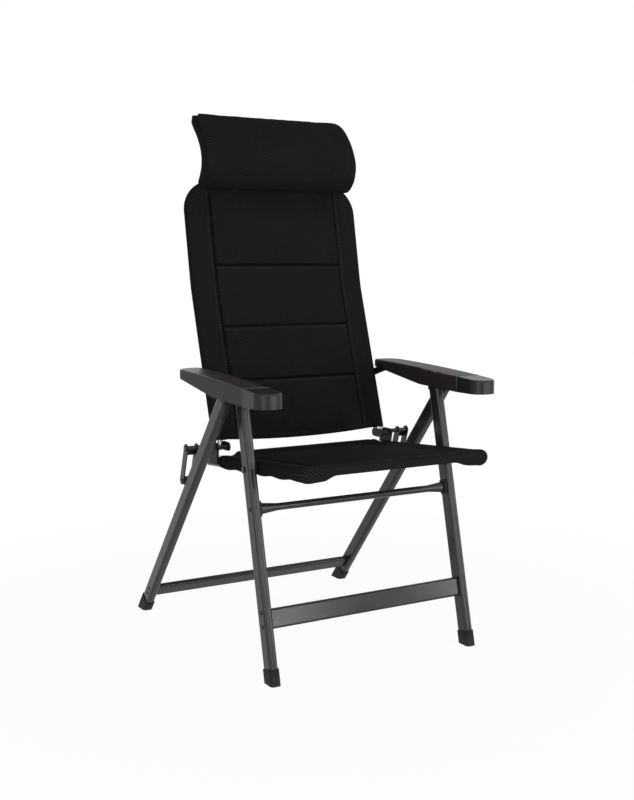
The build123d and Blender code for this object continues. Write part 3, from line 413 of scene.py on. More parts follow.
def billow(name, width, length, seams):
    """Gives the columns' and rows' places and the heights as shares of the highest."""
    across = np.linspace(-width / 2, width / 2, int(width / STITCH_GRID) + 1)
    along = np.linspace(0.0, length, int(length / STITCH_GRID) + 1)
    held = [int(np.argmin(np.abs(along - seam))) for seam in seams]
    along[held] = seams
    x, y = np.meshgrid(across, along)
    sewn = np.zeros(x.shape, bool)
    sewn[[0, -1], :] = True
    sewn[:, [0, -1]] = True
    sewn[held, :] = True
    index, squares = grid_squares(*x.shape)
    flat = np.stack([x, y, 0 * x], -1).reshape(-1, 3)
    sheet = add_mesh(name, flat, squares.tolist(), np.zeros((squares.size, 2)), panel_mesh)
    group = sheet.vertex_groups.new(name="sewn")
    group.add(index[sewn].tolist(), 1.0, "REPLACE")
    cloth = sheet.modifiers.new("Cloth", "CLOTH")
    cloth.settings.quality = 6
    cloth.settings.mass = 0.15
    cloth.settings.tension_stiffness = 12.0
    cloth.settings.compression_stiffness = 12.0
    cloth.settings.bending_stiffness = 0.4
    cloth.settings.shrink_min = -0.035
    cloth.settings.use_pressure = True
    cloth.settings.uniform_pressure_force = PRESSURE
    cloth.settings.vertex_group_mass = "sewn"
    cloth.settings.effector_weights.gravity = 0.0
    cloth.collision_settings.use_collision = False
    for step in range(STEPS):
        scene.frame_set(step + 1)
    blown = sheet.evaluated_get(bpy.context.evaluated_depsgraph_get()).data
    height = np.zeros(len(blown.vertices) * 3, np.float32)
    blown.vertices.foreach_get("co", height)
    height = height.reshape(*x.shape, 3)[:, :, 2]
    bpy.data.objects.remove(sheet)
    scene.frame_set(1)
    print(name, "swells to", round(float(np.abs(height).max()) * 1000, 1), "mm before it is scaled")
    height = np.clip(height * np.sign(height.sum()), 0.0, None)
    for low, high in zip([0] + held, held + [len(along) - 1]):
        height[low:high + 1] /= height[low + 1:high].max()
    return across, along, height


def read_map(sheet, x, s):
    """Height of a blown sheet at places across and along it: linear blend of the four nearest points."""
    across, along, height = sheet
    i = np.clip(np.searchsorted(across, x) - 1, 0, len(across) - 2)
    j = np.clip(np.searchsorted(along, s) - 1, 0, len(along) - 2)
    a = np.clip((x - across[i]) / (across[i + 1] - across[i]), 0, 1)
    b = np.clip((s - along[j]) / (along[j + 1] - along[j]), 0, 1)
    low = height[j, i] * (1 - a) + height[j, i + 1] * a
    high = height[j + 1, i] * (1 - a) + height[j + 1, i + 1] * a
    inside = (x >= across[0]) & (x <= across[-1]) & (s >= along[0]) & (s <= along[-1])
    return np.where(inside, low * (1 - b) + high * b, 0.0)


# %% [markdown]
# The back's cover is one sewn bag: mesh sleeves round both tubes and over the top bar, a quilted panel of
# four channels in front and a taut net behind. It could be cut into several pieces, but the real one is
# continuous, so front and rear are both written as an offset from the tubes' line, at a distance s up the
# back and x across it.

# %% Line of the back
BACK_HINGE_Y = 0.046
BACK_HINGE_Z = 0.459
LOWER_LEAN = 17.6
LEAN_LOST = 6.8
BEND_FROM = 0.362
BEND_LONG = 0.038
WALK = np.linspace(-0.02, 0.70, 1441)


def back_line(s):
    """Side-view line of the back tubes: steps up from the hinge along a lean that eases from 17.6 to 10.8
    degrees at the bend. Gives Y, Z and the lean at each distance s."""
    lean = np.radians(LOWER_LEAN - LEAN_LOST * smoothstep((WALK - BEND_FROM) / BEND_LONG))
    middle = (lean[1:] + lean[:-1]) / 2
    step = WALK[1] - WALK[0]
    y = np.concatenate([[0.0], np.cumsum(np.sin(middle))]) * step
    z = np.concatenate([[0.0], np.cumsum(np.cos(middle))]) * step
    y += BACK_HINGE_Y - np.interp(0.0, WALK, y)
    z += BACK_HINGE_Z - np.interp(0.0, WALK, z)
    return np.interp(s, WALK, y), np.interp(s, WALK, z), np.interp(s, WALK, lean)


def on_back(x, s, off):
    """Points at x across the back, s up its line and off towards the sitter."""
    y, z, lean = back_line(s)
    return np.stack([x, y - off * np.cos(lean), z + off * np.sin(lean)], -1)


print("the back leans", LOWER_LEAN, "degrees below its bend,", round(LOWER_LEAN - LEAN_LOST, 1), "above it")

# %% Edges of the back cover
TUBE_X = 0.222
SLEEVE_R = 0.0129
COVER_HALF = TUBE_X + SLEEVE_R
BACK_TOP = 0.625
SHOULDER = 0.062
BACK_HEM = 0.0115
HEM_HANG = 0.0075
HEM_HALF = 0.195
HEM_FADE = 0.06


def hem_drop(x, s):
    """How far the cloth hangs lower in the middle of the hem than at the tubes, fading out upwards."""
    hang = HEM_HANG * np.clip(1 - (x / HEM_HALF) ** 2, 0, None)
    return hang * (1 - smoothstep((s - BACK_HEM) / HEM_FADE))


def back_half_width(s):
    """Outer edge of the sleeves: straight, then a quarter circle about the shoulder bend's centre."""
    rise = np.clip(s - (BACK_TOP - SHOULDER), 0.0, SHOULDER + SLEEVE_R)
    return TUBE_X - SHOULDER + np.sqrt((SHOULDER + SLEEVE_R) ** 2 - rise**2)


def back_closing(s):
    """1 below the top bar, then a quarter circle to 0 where front and rear meet above it."""
    return np.sqrt(np.clip(1.0 - (np.clip(s - BACK_TOP, 0, None) / SLEEVE_R) ** 2, 0, 1))


def from_tube(x, s):
    """Distance inwards from the tubes' centre line: straight tubes, top bar or the bend between them."""
    over_x = np.abs(x) - (TUBE_X - SHOULDER)
    over_s = s - (BACK_TOP - SHOULDER)
    straight = np.minimum(TUBE_X - np.abs(x), BACK_TOP - s)
    return np.where((over_x > 0) & (over_s > 0), SHOULDER - np.hypot(over_x, over_s), straight)


cover_length = BACK_TOP + SLEEVE_R - BACK_HEM
print("the back cover is", round(2 * COVER_HALF, 3), "m wide and", round(cover_length, 3), "m long")

# %% Front and rear of the back cover
BACK_SEAMS = np.array([0.149, 0.280, 0.432])
PANEL_FROM = 0.020
PANEL_TO = 0.606
PANEL_HALF = 0.172
PANEL_OFF = 0.0104
PANEL_SWELL = 0.0118
SWELL_POWER = 0.6
PUCKER_DEPTH = 0.0042
PUCKER_WIDTH = 0.0032
CREASE_DEPTH = 0.0036
CREASE_WIDTH = 0.0030
NET_OFF = 0.0040
NET_EASE = 0.010


def back_front(x, s, edge, swell):
    """Front offset: a round sleeve at the sides, a dip along the seams and a swelling panel between."""
    tube = edge - SLEEVE_R
    beyond = np.clip(np.abs(x) - tube, 0, SLEEVE_R)
    sleeve = np.sqrt(np.clip(SLEEVE_R**2 - beyond**2, 0, None))
    strip = smoothstep((tube - np.abs(x)) / (TUBE_X - PANEL_HALF))
    flat = SLEEVE_R * (1 - strip) + PANEL_OFF * strip
    raised = np.where(np.abs(x) > tube, sleeve, flat) + PANEL_SWELL * swell**SWELL_POWER
    pucker = PUCKER_DEPTH * bell(np.abs(x) - PANEL_HALF, PUCKER_WIDTH) * (s < PANEL_TO) * (s > PANEL_FROM)
    crease = sum(bell(s - seam, CREASE_WIDTH) for seam in BACK_SEAMS) * (np.abs(x) < PANEL_HALF)
    return (raised - pucker - CREASE_DEPTH * crease) * back_closing(s)


def back_rear(x, s, edge):
    """Rear offset: round the tubes and the top bar, then up to the net that is stretched between them."""
    beyond = np.clip(np.abs(x) - (edge - SLEEVE_R), 0, SLEEVE_R)
    inside = np.clip(from_tube(x, s), 0, None)
    away = np.where(beyond > 0, beyond, np.minimum(inside, SLEEVE_R))
    net = NET_OFF * smoothstep((inside - SLEEVE_R) / NET_EASE)
    return (net - np.sqrt(np.clip(SLEEVE_R**2 - away**2, 0, None))) * back_closing(s)


print("the back's panel has", len(BACK_SEAMS) + 1, "channels")

# %% Painted shade and highlight at the seams
SEAM_WIDTH = 0.0026
SEAM_END = 0.004
PAINTED_SIDE_FADE = 0.01
# How dark the seams are painted as shade and how light the ridges beside them are painted as highlight.
CHANNEL_PAINTED_SHADING = {"light": 0.55, "dark": 0.80, "ridge": 0.0062, "ridge_width": 0.0034}
BACK_SIDE_PAINTED_HIGHLIGHT = 0.40
SEAT_PAINTED_HIGHLIGHT = 0.35


# Painted shade in a seam and painted highlight on the ridge beside it, given to the cloth's colour.
def painted_seam_shading(across, light, dark=0.70, ridge=0.0055, ridge_width=0.0030):
    """Painted shading at a distance across a seam: painted shade in it and a painted highlight on the ridge
    beside it.
    """
    return light * bell(across - ridge, ridge_width) - dark * bell(across, SEAM_WIDTH)


# Painted shade in the back's seams and painted highlight beside them.
def back_painted_shading(x, s):
    """Painted shade in the back's channel and side seams, painted highlight below or outside them."""
    across = np.abs(x) - PANEL_HALF
    channels = sum(painted_seam_shading(seam - s, **CHANNEL_PAINTED_SHADING) for seam in BACK_SEAMS)
    sides = painted_seam_shading(across, BACK_SIDE_PAINTED_HIGHLIGHT) * smoothstep((s - PANEL_FROM) / PAINTED_SIDE_FADE)
    return channels * smoothstep(-across / SEAM_END) + sides


# %% Rows and columns of a cover
SEAM_REACH = 0.008
EVEN_TO = 0.620


def near(seam):
    """Places close to a seam and on both sides of it, where the cloth bends most."""
    return seam + np.linspace(-SEAM_REACH, SEAM_REACH, 13)


def columns(seam):
    """Places across a cover as shares of its half width: even, closer at a seam, round at the sleeve."""
    even = np.linspace(0, TUBE_X - SLEEVE_R, 44)
    inner = TUBE_X - SLEEVE_R * np.cos(np.linspace(0, np.pi / 2, 9))
    outer = TUBE_X + SLEEVE_R * np.sin(np.linspace(0, np.pi / 2, 10))
    return mirrored(np.unique(np.concatenate([even, near(seam), inner, outer]).round(6)) / COVER_HALF)


over_top = BACK_TOP + SLEEVE_R * np.sin(np.linspace(0, np.pi / 2, 9))
s_rows = np.unique(np.concatenate([np.linspace(BACK_HEM, EVEN_TO, 124), *map(near, BACK_SEAMS), over_top]))
s_grid, share_grid = np.meshgrid(s_rows, columns(PANEL_HALF), indexing="ij")
print("the back cover's grid has", *s_grid.shape, "rows and columns")

# %% Make the back cover
back_sheet = billow("back_sheet", 2 * PANEL_HALF, PANEL_TO - PANEL_FROM, BACK_SEAMS - PANEL_FROM)
edge = back_half_width(s_grid)
x_grid = edge * share_grid
swell = read_map(back_sheet, x_grid, s_grid - PANEL_FROM)
hang = hem_drop(x_grid, s_grid)
front = on_back(x_grid, s_grid - hang, back_front(x_grid, s_grid, edge, swell))
rear = on_back(x_grid, s_grid - hang, back_rear(x_grid, s_grid, edge))
back_cover = sew("back_cover", front, rear, panel_mesh, back_painted_shading(x_grid, s_grid))
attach(back_cover, "backrest")
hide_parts("back_sling", "back_sleeve_left", "back_sleeve_right", "back_pad")

# %% [markdown]
# The seat's cover is made like the back's: sleeves on the rails, a crowned panel on top, a taut net below
# and a padded roll round the front tube, whose corners stand out as small ears. It is worked out flat in
# the seat's own plane, which slopes down to the rear by 4.5 degrees from the pivot on the front legs.

# %% Plane and edges of the seat cover
SEAT_PIVOT_Y = -0.172
SEAT_PIVOT_Z = 0.440
SEAT_SLOPE = math.radians(4.5)
SEAT_REAR = 0.1885
SEAT_FRONT = 0.196
SEAT_BEND = 0.040
RAIL_HALF = 0.0129
RAIL_HIGH = 0.0149
CORNER_POWER = 2.9
FRONT_POWER = 2.6
SLEEVE_POWER = 2.8
TIP_POWER_LOST = 0.7
TIP_EASE = 0.040
EAR_X = 0.165
EAR_X_EASE = 0.05
EAR_Y = 0.150
EAR_Y_EASE = 0.045
EAR_OUT = 0.012
EAR_AT = 0.76
EAR_SPREAD = 0.2


def on_seat(x, y, z):
    """Points at x across the seat, y to the rear of its pivot and z above its sloping plane."""
    along = math.cos(SEAT_SLOPE)
    drop = math.sin(SEAT_SLOPE)
    return np.stack([x, SEAT_PIVOT_Y + y * along + z * drop, SEAT_PIVOT_Z - y * drop + z * along], -1)


def ear(x, y):
    """0 over most of the seat, rising to 1 at the two front corners."""
    return smoothstep((np.abs(x) - EAR_X) / EAR_X_EASE) * smoothstep((-y - EAR_Y) / EAR_Y_EASE)


def seat_half_width(y):
    """Outer edge of the rail sleeves: straight, then round the corner, a bit squarer than the tube."""
    turn = SEAT_BEND + RAIL_HALF
    share_up = np.clip(-y - (SEAT_FRONT - SEAT_BEND), 0.0, turn) / turn
    bow = round_off(share_up, CORNER_POWER)
    return TUBE_X - SEAT_BEND + turn * bow + EAR_OUT * bell(share_up - EAR_AT, EAR_SPREAD)


def seat_closing(y):
    """1 behind the front tube, then a rounded end to 0 where top and bottom meet in front of it."""
    return round_off(np.clip(-y - SEAT_FRONT, 0, RAIL_HALF) / RAIL_HALF, FRONT_POWER)


def rail_round(x, y, edge):
    """Height share of a rail sleeve's section: 1 on the rail and a rounded fall to 0 at the outer edge,
    which is longer and more pointed at the ears."""
    tip = smoothstep((-y - EAR_Y) / TIP_EASE)
    fall = RAIL_HALF + EAR_OUT * tip
    beyond = np.clip((np.abs(x) - (edge - fall)) / fall, 0, 1)
    return round_off(beyond, SLEEVE_POWER - TIP_POWER_LOST * tip)


print("the seat is", round(SEAT_REAR + SEAT_FRONT + RAIL_HALF, 3), "m deep from its hem to its front roll")

# %% Top and underside of the seat cover
PAD_HALF = 0.178
PAD_REAR = 0.180
PAD_FRONT = 0.172
PAD_LEVEL = 0.0118
PAD_SWELL = 0.0066
SIDE_PUCKER = 0.0030
FRONT_PUCKER = 0.0026
PAD_PUCKER_WIDTH = 0.0035
EAR_RISE = 0.0028
EAR_SINK = 0.0022
FRONT_TUBE = 0.012
BAND_HALF = 0.184
BAND_X_EASE = 0.030
BAND_Y_EASE = 0.014
BAND_MIDDLE = 0.0050
BAND_UNDER = 0.0060
NET_LEVEL = 0.0050
REAR_HEM_RISE = 0.0105
REAR_HEM_DEEP = 0.045
REAR_HEM_EASE = 0.035
REAR_HEM_HALF = 0.203
REAR_HEM_END = 0.02
SAG_DEPTH = 0.0016
SAG_WAVE = 74.0
SAG_SHIFT = 0.7
SAG_X = 0.2
SAG_EASE = 0.02


def within(x, y, side, side_ease, front_ease):
    """1 between the rails and behind the front tube, easing to 0 at a side edge and at the tube."""
    behind = smoothstep((y + SEAT_FRONT - FRONT_TUBE) / front_ease)
    return smoothstep((side - np.abs(x)) / side_ease) * behind


def front_band(x, y):
    """1 along the flat front tube between the two ears, and 0 at the ears and behind the tube."""
    return smoothstep((BAND_HALF - np.abs(x)) / BAND_X_EASE) * smoothstep((-y - PAD_FRONT) / BAND_Y_EASE)


def closed_front(height, x, y):
    """A height that closes, in front of the tube, on the middle level of the roll."""
    middle = BAND_MIDDLE * front_band(x, y)
    return middle + (height - middle) * seat_closing(y)


def rear_hem(x, y):
    """Rise of the hem behind the panel, easing in from the front and ending short of the rails."""
    deep = smoothstep((y - SEAT_REAR + REAR_HEM_DEEP) / REAR_HEM_EASE)
    return REAR_HEM_RISE * deep * smoothstep((REAR_HEM_HALF - np.abs(x)) / REAR_HEM_END)


def seat_top(x, y, edge, swell):
    """Top height: sleeves at the sides and front, a dip at the seams and the crowned panel between."""
    inside = within(x, y, edge - RAIL_HALF, side_ease=0.032, front_ease=0.03)
    flat = RAIL_HIGH * (1 - inside) + PAD_LEVEL * inside
    pucker = SIDE_PUCKER * bell(np.abs(x) - PAD_HALF, PAD_PUCKER_WIDTH) * (y > -PAD_FRONT)
    pucker = pucker + FRONT_PUCKER * bell(y + PAD_FRONT, PAD_PUCKER_WIDTH) * (np.abs(x) < PAD_HALF)
    height = flat + PAD_SWELL * swell - pucker + rear_hem(x, y) + EAR_RISE * ear(x, y)
    return closed_front(height * rail_round(x, y, edge), x, y)


def seat_bottom(x, y, edge):
    """Underside: round the sleeves and the front tube, up to the net between them, and a slight wave of
    slack cloth along the rails."""
    inside = within(x, y, edge - 2 * RAIL_HALF, side_ease=0.02, front_ease=0.02)
    band = front_band(x, y)
    rim = -RAIL_HIGH * (1 - band) - BAND_UNDER * band
    flat = rim * (1 - inside) + NET_LEVEL * inside
    wave = SAG_DEPTH * np.sin(y * SAG_WAVE + np.sign(x) * SAG_SHIFT)
    sag = wave * (1 - inside) * smoothstep((np.abs(x) - SAG_X) / SAG_EASE)
    return closed_front((flat + sag - EAR_SINK * ear(x, y)) * rail_round(x, y, edge), x, y)


# Painted shade in the seat's seams and painted highlight beside them.
def seat_painted_shading(x, y):
    """Painted shade in the seat panel's side and front seams, painted highlight just outside them."""
    across = np.abs(x) - PAD_HALF
    ahead = -y - PAD_FRONT
    side_seam = painted_seam_shading(across, SEAT_PAINTED_HIGHLIGHT) * smoothstep(-ahead / SEAM_END)
    return side_seam + painted_seam_shading(ahead, SEAT_PAINTED_HIGHLIGHT) * smoothstep(-across / SEAM_END)


# %% Make the seat cover
seat_sheet = billow("seat_sheet", 2 * PAD_HALF, PAD_REAR + PAD_FRONT, np.array([]))
round_front = -(SEAT_FRONT + RAIL_HALF * np.sin(np.linspace(0, np.pi / 2, 12)))
even_rows = np.linspace(-SEAT_FRONT, SEAT_REAR, 96)
y_rows = np.unique(np.concatenate([even_rows, near(-PAD_FRONT), round_front]).round(6))
y_grid, share_grid = np.meshgrid(y_rows, columns(PAD_HALF), indexing="ij")
edge = seat_half_width(y_grid)
x_grid = edge * share_grid
swell = read_map(seat_sheet, x_grid, y_grid + PAD_FRONT)
top = on_seat(x_grid, y_grid, seat_top(x_grid, y_grid, edge, swell))
under = on_seat(x_grid, y_grid, seat_bottom(x_grid, y_grid, edge))
seat_cover = sew("seat_cover", top, under, panel_mesh, seat_painted_shading(x_grid, y_grid), even=False)

# %% Coarser mesh on the seat's front roll
seat_cover.data.materials.append(roll_mesh)
centres = np.zeros(len(seat_cover.data.polygons) * 3, np.float32)
seat_cover.data.polygons.foreach_get("center", centres)
on_roll = centres.reshape(-1, 3)[:, 1] < SEAT_PIVOT_Y - PAD_FRONT
seat_cover.data.polygons.foreach_set("material_index", on_roll.astype(np.int32))
print("the front roll takes", int(on_roll.sum()), "of", len(on_roll), "faces")
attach(seat_cover, "seat_frame")
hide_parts("seat_sling", "seat_sleeve_left", "seat_sleeve_right", "seat_pad", "seat_front_roll")

# %% [markdown]
# The headrest is a curved cushion on a thin rear shell. Its section in the side view is a smooth line
# through a few points, front and rear, and it is carried straight across the chair. Towards each end
# front and rear close on the line halfway between them, which rounds the ends as a sewn cover does.

# %% Section of the headrest
HEAD_HALF = 0.206
HEAD_END = 0.013
HEAD_CORNER = 0.027
HEAD_ROWS = 73
HEAD_FRONT_LINE = np.array([
    [0.2245, 1.2195], [0.2185, 1.2265], [0.2085, 1.2280], [0.1800, 1.2075],
    [0.1485, 1.1735], [0.1290, 1.1370], [0.1230, 1.1120], [0.1310, 1.0830],
    [0.1500, 1.0640], [0.1700, 1.0575], [0.1835, 1.0670],
])
HEAD_REAR_LINE = np.array([
    [0.2245, 1.2195], [0.2220, 1.2100], [0.2100, 1.1930], [0.1920, 1.1730],
    [0.1760, 1.1490], [0.1690, 1.1260], [0.1690, 1.1080], [0.1730, 1.0960],
    [0.1775, 1.0860], [0.1815, 1.0770], [0.1835, 1.0670],
])


def smooth_line(points, count):
    """Catmull-Rom line through points: between two of them a cubic with the slope of their neighbours."""
    ends = np.concatenate([[2 * points[0] - points[1]], points, [2 * points[-1] - points[-2]]])
    t = np.linspace(0, len(points) - 1, count)
    i = np.clip(t.astype(int), 0, len(points) - 2)
    f = (t - i)[:, None]
    a, b, c, d = (ends[i + k] for k in range(4))
    return 0.5 * (2 * b + (c - a) * f + (2 * a - 5 * b + 4 * c - d) * f**2 + (3 * b - 3 * c + d - a) * f**3)


def cut_line(line, sink, first=0.0, last=1.0):
    """A section line for each column, read between two shares of its length, after its upper end is moved
    down along the line by the column's sink, of which 1 is the height of the rounded corner."""
    rows = np.arange(len(line))
    shoulder = rows[line[:, 1] > HEAD_FRONT_LINE[:, 1].max() - HEAD_CORNER].max()
    start = shoulder * sink[None, :]
    at = start + (rows[-1] - start) * np.linspace(first, last, len(line))[:, None]
    return np.stack([np.interp(at, rows, line[:, k]) for k in (0, 1)], -1)


front_line = smooth_line(HEAD_FRONT_LINE, HEAD_ROWS)
rear_line = smooth_line(HEAD_REAR_LINE, HEAD_ROWS)
front_steps = np.linalg.norm(np.diff(front_line, axis=0), axis=1)
front_length = np.concatenate([[0], np.cumsum(front_steps)])
print("the headrest's front line is", round(float(front_length[-1]), 3), "m long")

# %% Rounded ends of the headrest
END_POWER = 2.8
END_SHARES = (0.04, 0.93)

end_angle = np.linspace(0, np.pi / 2, 12)
even_columns = np.linspace(0, HEAD_HALF - HEAD_END, 40)[:-1]
x_cols = mirrored(np.concatenate([even_columns, HEAD_HALF - HEAD_END + HEAD_END * np.sin(end_angle)]))
fullness = round_off(np.clip((np.abs(x_cols) - (HEAD_HALF - HEAD_END)) / HEAD_END, 0, 1), END_POWER)
into_corner = np.clip((np.abs(x_cols) - HEAD_HALF + HEAD_CORNER) / HEAD_CORNER, 0, 1)
sink = 1 - np.sqrt(1 - into_corner**2)
end_yz = (cut_line(front_line, sink, *END_SHARES) + cut_line(rear_line, sink, *END_SHARES)) / 2
front_yz = end_yz + (cut_line(front_line, sink) - end_yz) * fullness[None, :, None]
rear_yz = end_yz + (cut_line(rear_line, sink) - end_yz) * fullness[None, :, None]
print("the headrest's grid has", *front_yz.shape[:2], "rows and columns")

# %% Make the headrest
HEAD_SHEET = 0.20
HEAD_SWELL = 0.004
MEAN_SWELL = 0.75

head_sheet = billow("head_sheet", 2 * HEAD_HALF, HEAD_SHEET, np.array([]))
s_grid, x_grid = np.meshgrid(front_length, x_cols, indexing="ij")
swell = (read_map(head_sheet, x_grid, s_grid) - MEAN_SWELL) * HEAD_SWELL * fullness[None, :]
slope = np.gradient(front_line, axis=0)
outward = np.stack([-np.abs(slope[:, 1]), -slope[:, 0] * np.sign(slope[:, 1])], -1)
outward /= np.linalg.norm(outward, axis=1)[:, None]
front_yz = front_yz + outward[:, None] * swell[:, :, None]
front = np.concatenate([x_grid[:, :, None], front_yz], -1)
rear = np.concatenate([x_grid[:, :, None], rear_yz], -1)
rear[[0, -1]] = front[[0, -1]]
headrest = sew("headrest_cushion", front, rear, panel_mesh, np.zeros(x_grid.shape))
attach(headrest, "headrest")
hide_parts("headrest_pad")

# %% [markdown]
# A sewn seam shows as a row of short, slightly sunk stitches. They could be painted on, but then they
# would not be part of the shape, so each stitch is a small spindle of thread lying on the cloth. All the
# spindles of a row are worked out at once: a row's line is cut into equal steps, and one spindle is laid
# along each step.

# %% Rows of stitches
STITCH = 0.0075
STITCH_R = 0.0008
STITCH_LIFT = 0.0004
RINGS = 5
RING_POINTS = 6
END_TAPER = 0.98

thread = coated("black_thread", (0.022, 0.021, 0.022), 0.0005, 0.00005, (0.55, 0.65), specular=0.1)


def stitch_points(line, lift):
    """Spindles along a line of points: at each step a few rings, over two thirds of the step, whose
    radius rises and falls like a half sine. The lift gives the direction away from the cloth at each
    point of the line."""
    run = np.concatenate([[0.0], np.cumsum(np.linalg.norm(np.diff(line, axis=0), axis=1))])
    at = np.arange(STITCH, run[-1] - STITCH / 2, STITCH)

    def along(t, data):
        return np.stack([np.interp(t, run, data[:, k]) for k in range(3)], -1)

    up = along(at, lift)[:, None, None]
    ahead = along(at + STITCH / 3, line) - along(at - STITCH / 3, line)
    across = np.cross(ahead, up[:, 0, 0])
    across = (across / np.linalg.norm(across, axis=1)[:, None])[:, None, None]
    share = np.linspace(-0.5, 0.5, RINGS)[None, :, None, None]
    turn = (np.arange(RING_POINTS) * 2 * np.pi / RING_POINTS)[None, None, :, None]
    spine = along(at, line)[:, None, None] + ahead[:, None, None] * share + STITCH_LIFT * up
    ring = across * np.cos(turn) + up * np.sin(turn)
    return (spine + ring * STITCH_R * np.cos(share * np.pi * END_TAPER)).reshape(-1, 3)


def sew_rows(name, rows):
    """One piece from several rows of spindles: squares between neighbouring rings and two end caps."""
    points = np.concatenate([stitch_points(line, lift) for line, lift in rows])
    spindle = np.arange(RINGS * RING_POINTS).reshape(RINGS, RING_POINTS)
    after = np.roll(spindle, -1, axis=1)
    sides = np.stack([spindle[:-1], after[:-1], after[1:], spindle[1:]], -1).reshape(-1, 4)
    caps = np.stack([spindle[0, ::-1], spindle[-1]])
    first = np.arange(0, len(points), spindle.size)[:, None, None]
    faces = (first + sides).reshape(-1, 4).tolist() + (first + caps).reshape(-1, RING_POINTS).tolist()
    piece = add_mesh(name, points, faces, np.zeros((sum(map(len, faces)), 2)), thread)
    merge_doubles(piece)
    print(name, len(first), "stitches")
    return piece


# %% Lines on the covers
PROBE = 0.01


def back_row(x, s):
    """Line on the back cover's front through x and s, and the direction away from the cloth there."""
    x, s = np.broadcast_arrays(np.asarray(x, float), np.asarray(s, float))
    off = back_front(x, s, back_half_width(s), read_map(back_sheet, x, s - PANEL_FROM))
    hung = s - hem_drop(x, s)
    line = on_back(x, hung, off)
    return line, (on_back(x, hung, off + PROBE) - line) / PROBE


def seat_row(x, y):
    """Line on the seat cover's top through x and y, and the direction away from the cloth there."""
    x, y = np.broadcast_arrays(np.asarray(x, float), np.asarray(y, float))
    high = seat_top(x, y, seat_half_width(y), read_map(seat_sheet, x, y + PAD_FRONT))
    line = on_seat(x, y, high)
    return line, (on_seat(x, y, high + PROBE) - line) / PROBE


# %% Stitches of the back
HEM_STITCH = 0.021
HEM_STITCH_HALF = 0.21

up_back = np.linspace(PANEL_FROM, PANEL_TO, 200)
over_back = np.linspace(-PANEL_HALF, PANEL_HALF, 120)
back_rows = [back_row(sign * PANEL_HALF, up_back) for sign in (-1, 1)]
back_rows += [back_row(over_back, seam) for seam in BACK_SEAMS]
back_rows += [back_row(np.linspace(-HEM_STITCH_HALF, HEM_STITCH_HALF, 120), HEM_STITCH)]
back_stitches = sew_rows("back_stitches", back_rows)
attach(back_stitches, "backrest")

# %% Stitches of the seat
REAR_STITCH_IN = 0.018

along_seat = np.linspace(-PAD_FRONT, PAD_REAR, 120)
over_seat = np.linspace(-PAD_HALF, PAD_HALF, 120)
seat_rows = [seat_row(sign * PAD_HALF, along_seat) for sign in (-1, 1)]
seat_rows += [seat_row(over_seat, y) for y in (-PAD_FRONT, SEAT_REAR - REAR_STITCH_IN)]
seat_stitches = sew_rows("seat_stitches", seat_rows)
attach(seat_stitches, "seat_frame")

# %% [markdown]
# Each armrest has a separate front cap, and the cap's edge stands a little proud where it meets the long
# moulding. That edge is a thin round bead, carried along the armrest's section: up one side, over the top
# and down the other. Its pale grey is a painted highlight, lighter than the black moulding round it.

# %% Beads at the armrests' parting lines
BEAD_R = 0.0010
ARM_SPLIT_Y = -0.246
ARM_INNER = 0.2405
ARM_OUTER = 0.3035
ARM_LOW = 0.5875
ARM_HIGH = 0.6228
ARM_ROUND = 0.0045
BEAD_TIP = 0.001
# Pale grey of the bead: a painted highlight along the cap's edge, not the moulding's own colour.
BEAD_HIGHLIGHT_COLOUR = (0.085, 0.082, 0.080)

bead_highlight_finish = coated("armrest_edge_bead_painted_highlight", BEAD_HIGHLIGHT_COLOUR, 0.0006, 0.00004, (0.30, 0.38), specular=0.3)
bend = np.linspace(0, np.pi / 2, 10)
rising = ARM_ROUND * (1 - np.sin(bend))
turning = ARM_ROUND * (1 - np.cos(bend))
section_x = np.concatenate([[ARM_INNER] * 2, ARM_INNER + turning, ARM_OUTER - rising, [ARM_OUTER] * 2])
ends_z = [ARM_LOW, ARM_LOW + BEAD_TIP]
section_z = np.concatenate([ends_z, ARM_HIGH - rising, ARM_HIGH - turning, ends_z[::-1]])


def edge_bead(name, sign):
    """Round bead along the armrest's section: a circle at each point, shrinking to nothing at the ends."""
    path = np.stack([sign * section_x, np.full(len(section_x), ARM_SPLIT_Y), section_z], -1)
    ahead = np.gradient(path, axis=0)
    out = np.cross(ahead, [0.0, sign, 0.0])
    out /= np.linalg.norm(out, axis=1)[:, None]
    radius = BEAD_R * np.concatenate([[0.0], np.ones(len(path) - 2), [0.0]])
    turn = np.linspace(0, 2 * np.pi, 13)[None, :, None]
    ring = out[:, None] * np.cos(turn) + np.array([0, 1.0, 0]) * np.sin(turn)
    points = path[:, None] + ring * radius[:, None, None]
    faces = grid_squares(*points.shape[:2])[1]
    piece = add_mesh(name, points.reshape(-1, 3), faces.tolist(), np.zeros((faces.size, 2)), bead_highlight_finish)
    merge_doubles(piece)
    return piece


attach(edge_bead("armrest_bead_right", 1.0), "right_armrest")
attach(edge_bead("armrest_bead_left", -1.0), "left_armrest")
print("two beads of", len(section_x), "rings")

# %% [markdown]
# The chair stands in a white studio. The floor is pale and keeps the chair's soft shadow, and what the
# camera sees behind it is plain white. A large soft lamp at the front left lights the faces that are
# light in the photograph. Two narrow ones at the front right are mirrored as bright lines in the front
# legs, a small one overhead picks out the rims of the armrests, and the sky is dimmer overhead, so that
# the tops of bars and armrests stay dark.

# %% Lamps
CHAIR_MIDDLE = (0.0, 0.0, 0.6)


def area_lamp(name, place, target, wide, tall, power):
    """Soft lamp of a width and height at a place, turned to a target."""
    data = bpy.data.lights.new(name, "AREA")
    data.shape = "RECTANGLE"
    data.size = wide
    data.size_y = tall
    data.energy = power
    lamp = bpy.data.objects.new(name, data)
    scene.collection.objects.link(lamp)
    lamp.location = place
    lamp.rotation_euler = (Vector(target) - Vector(place)).to_track_quat("-Z", "Y").to_euler()


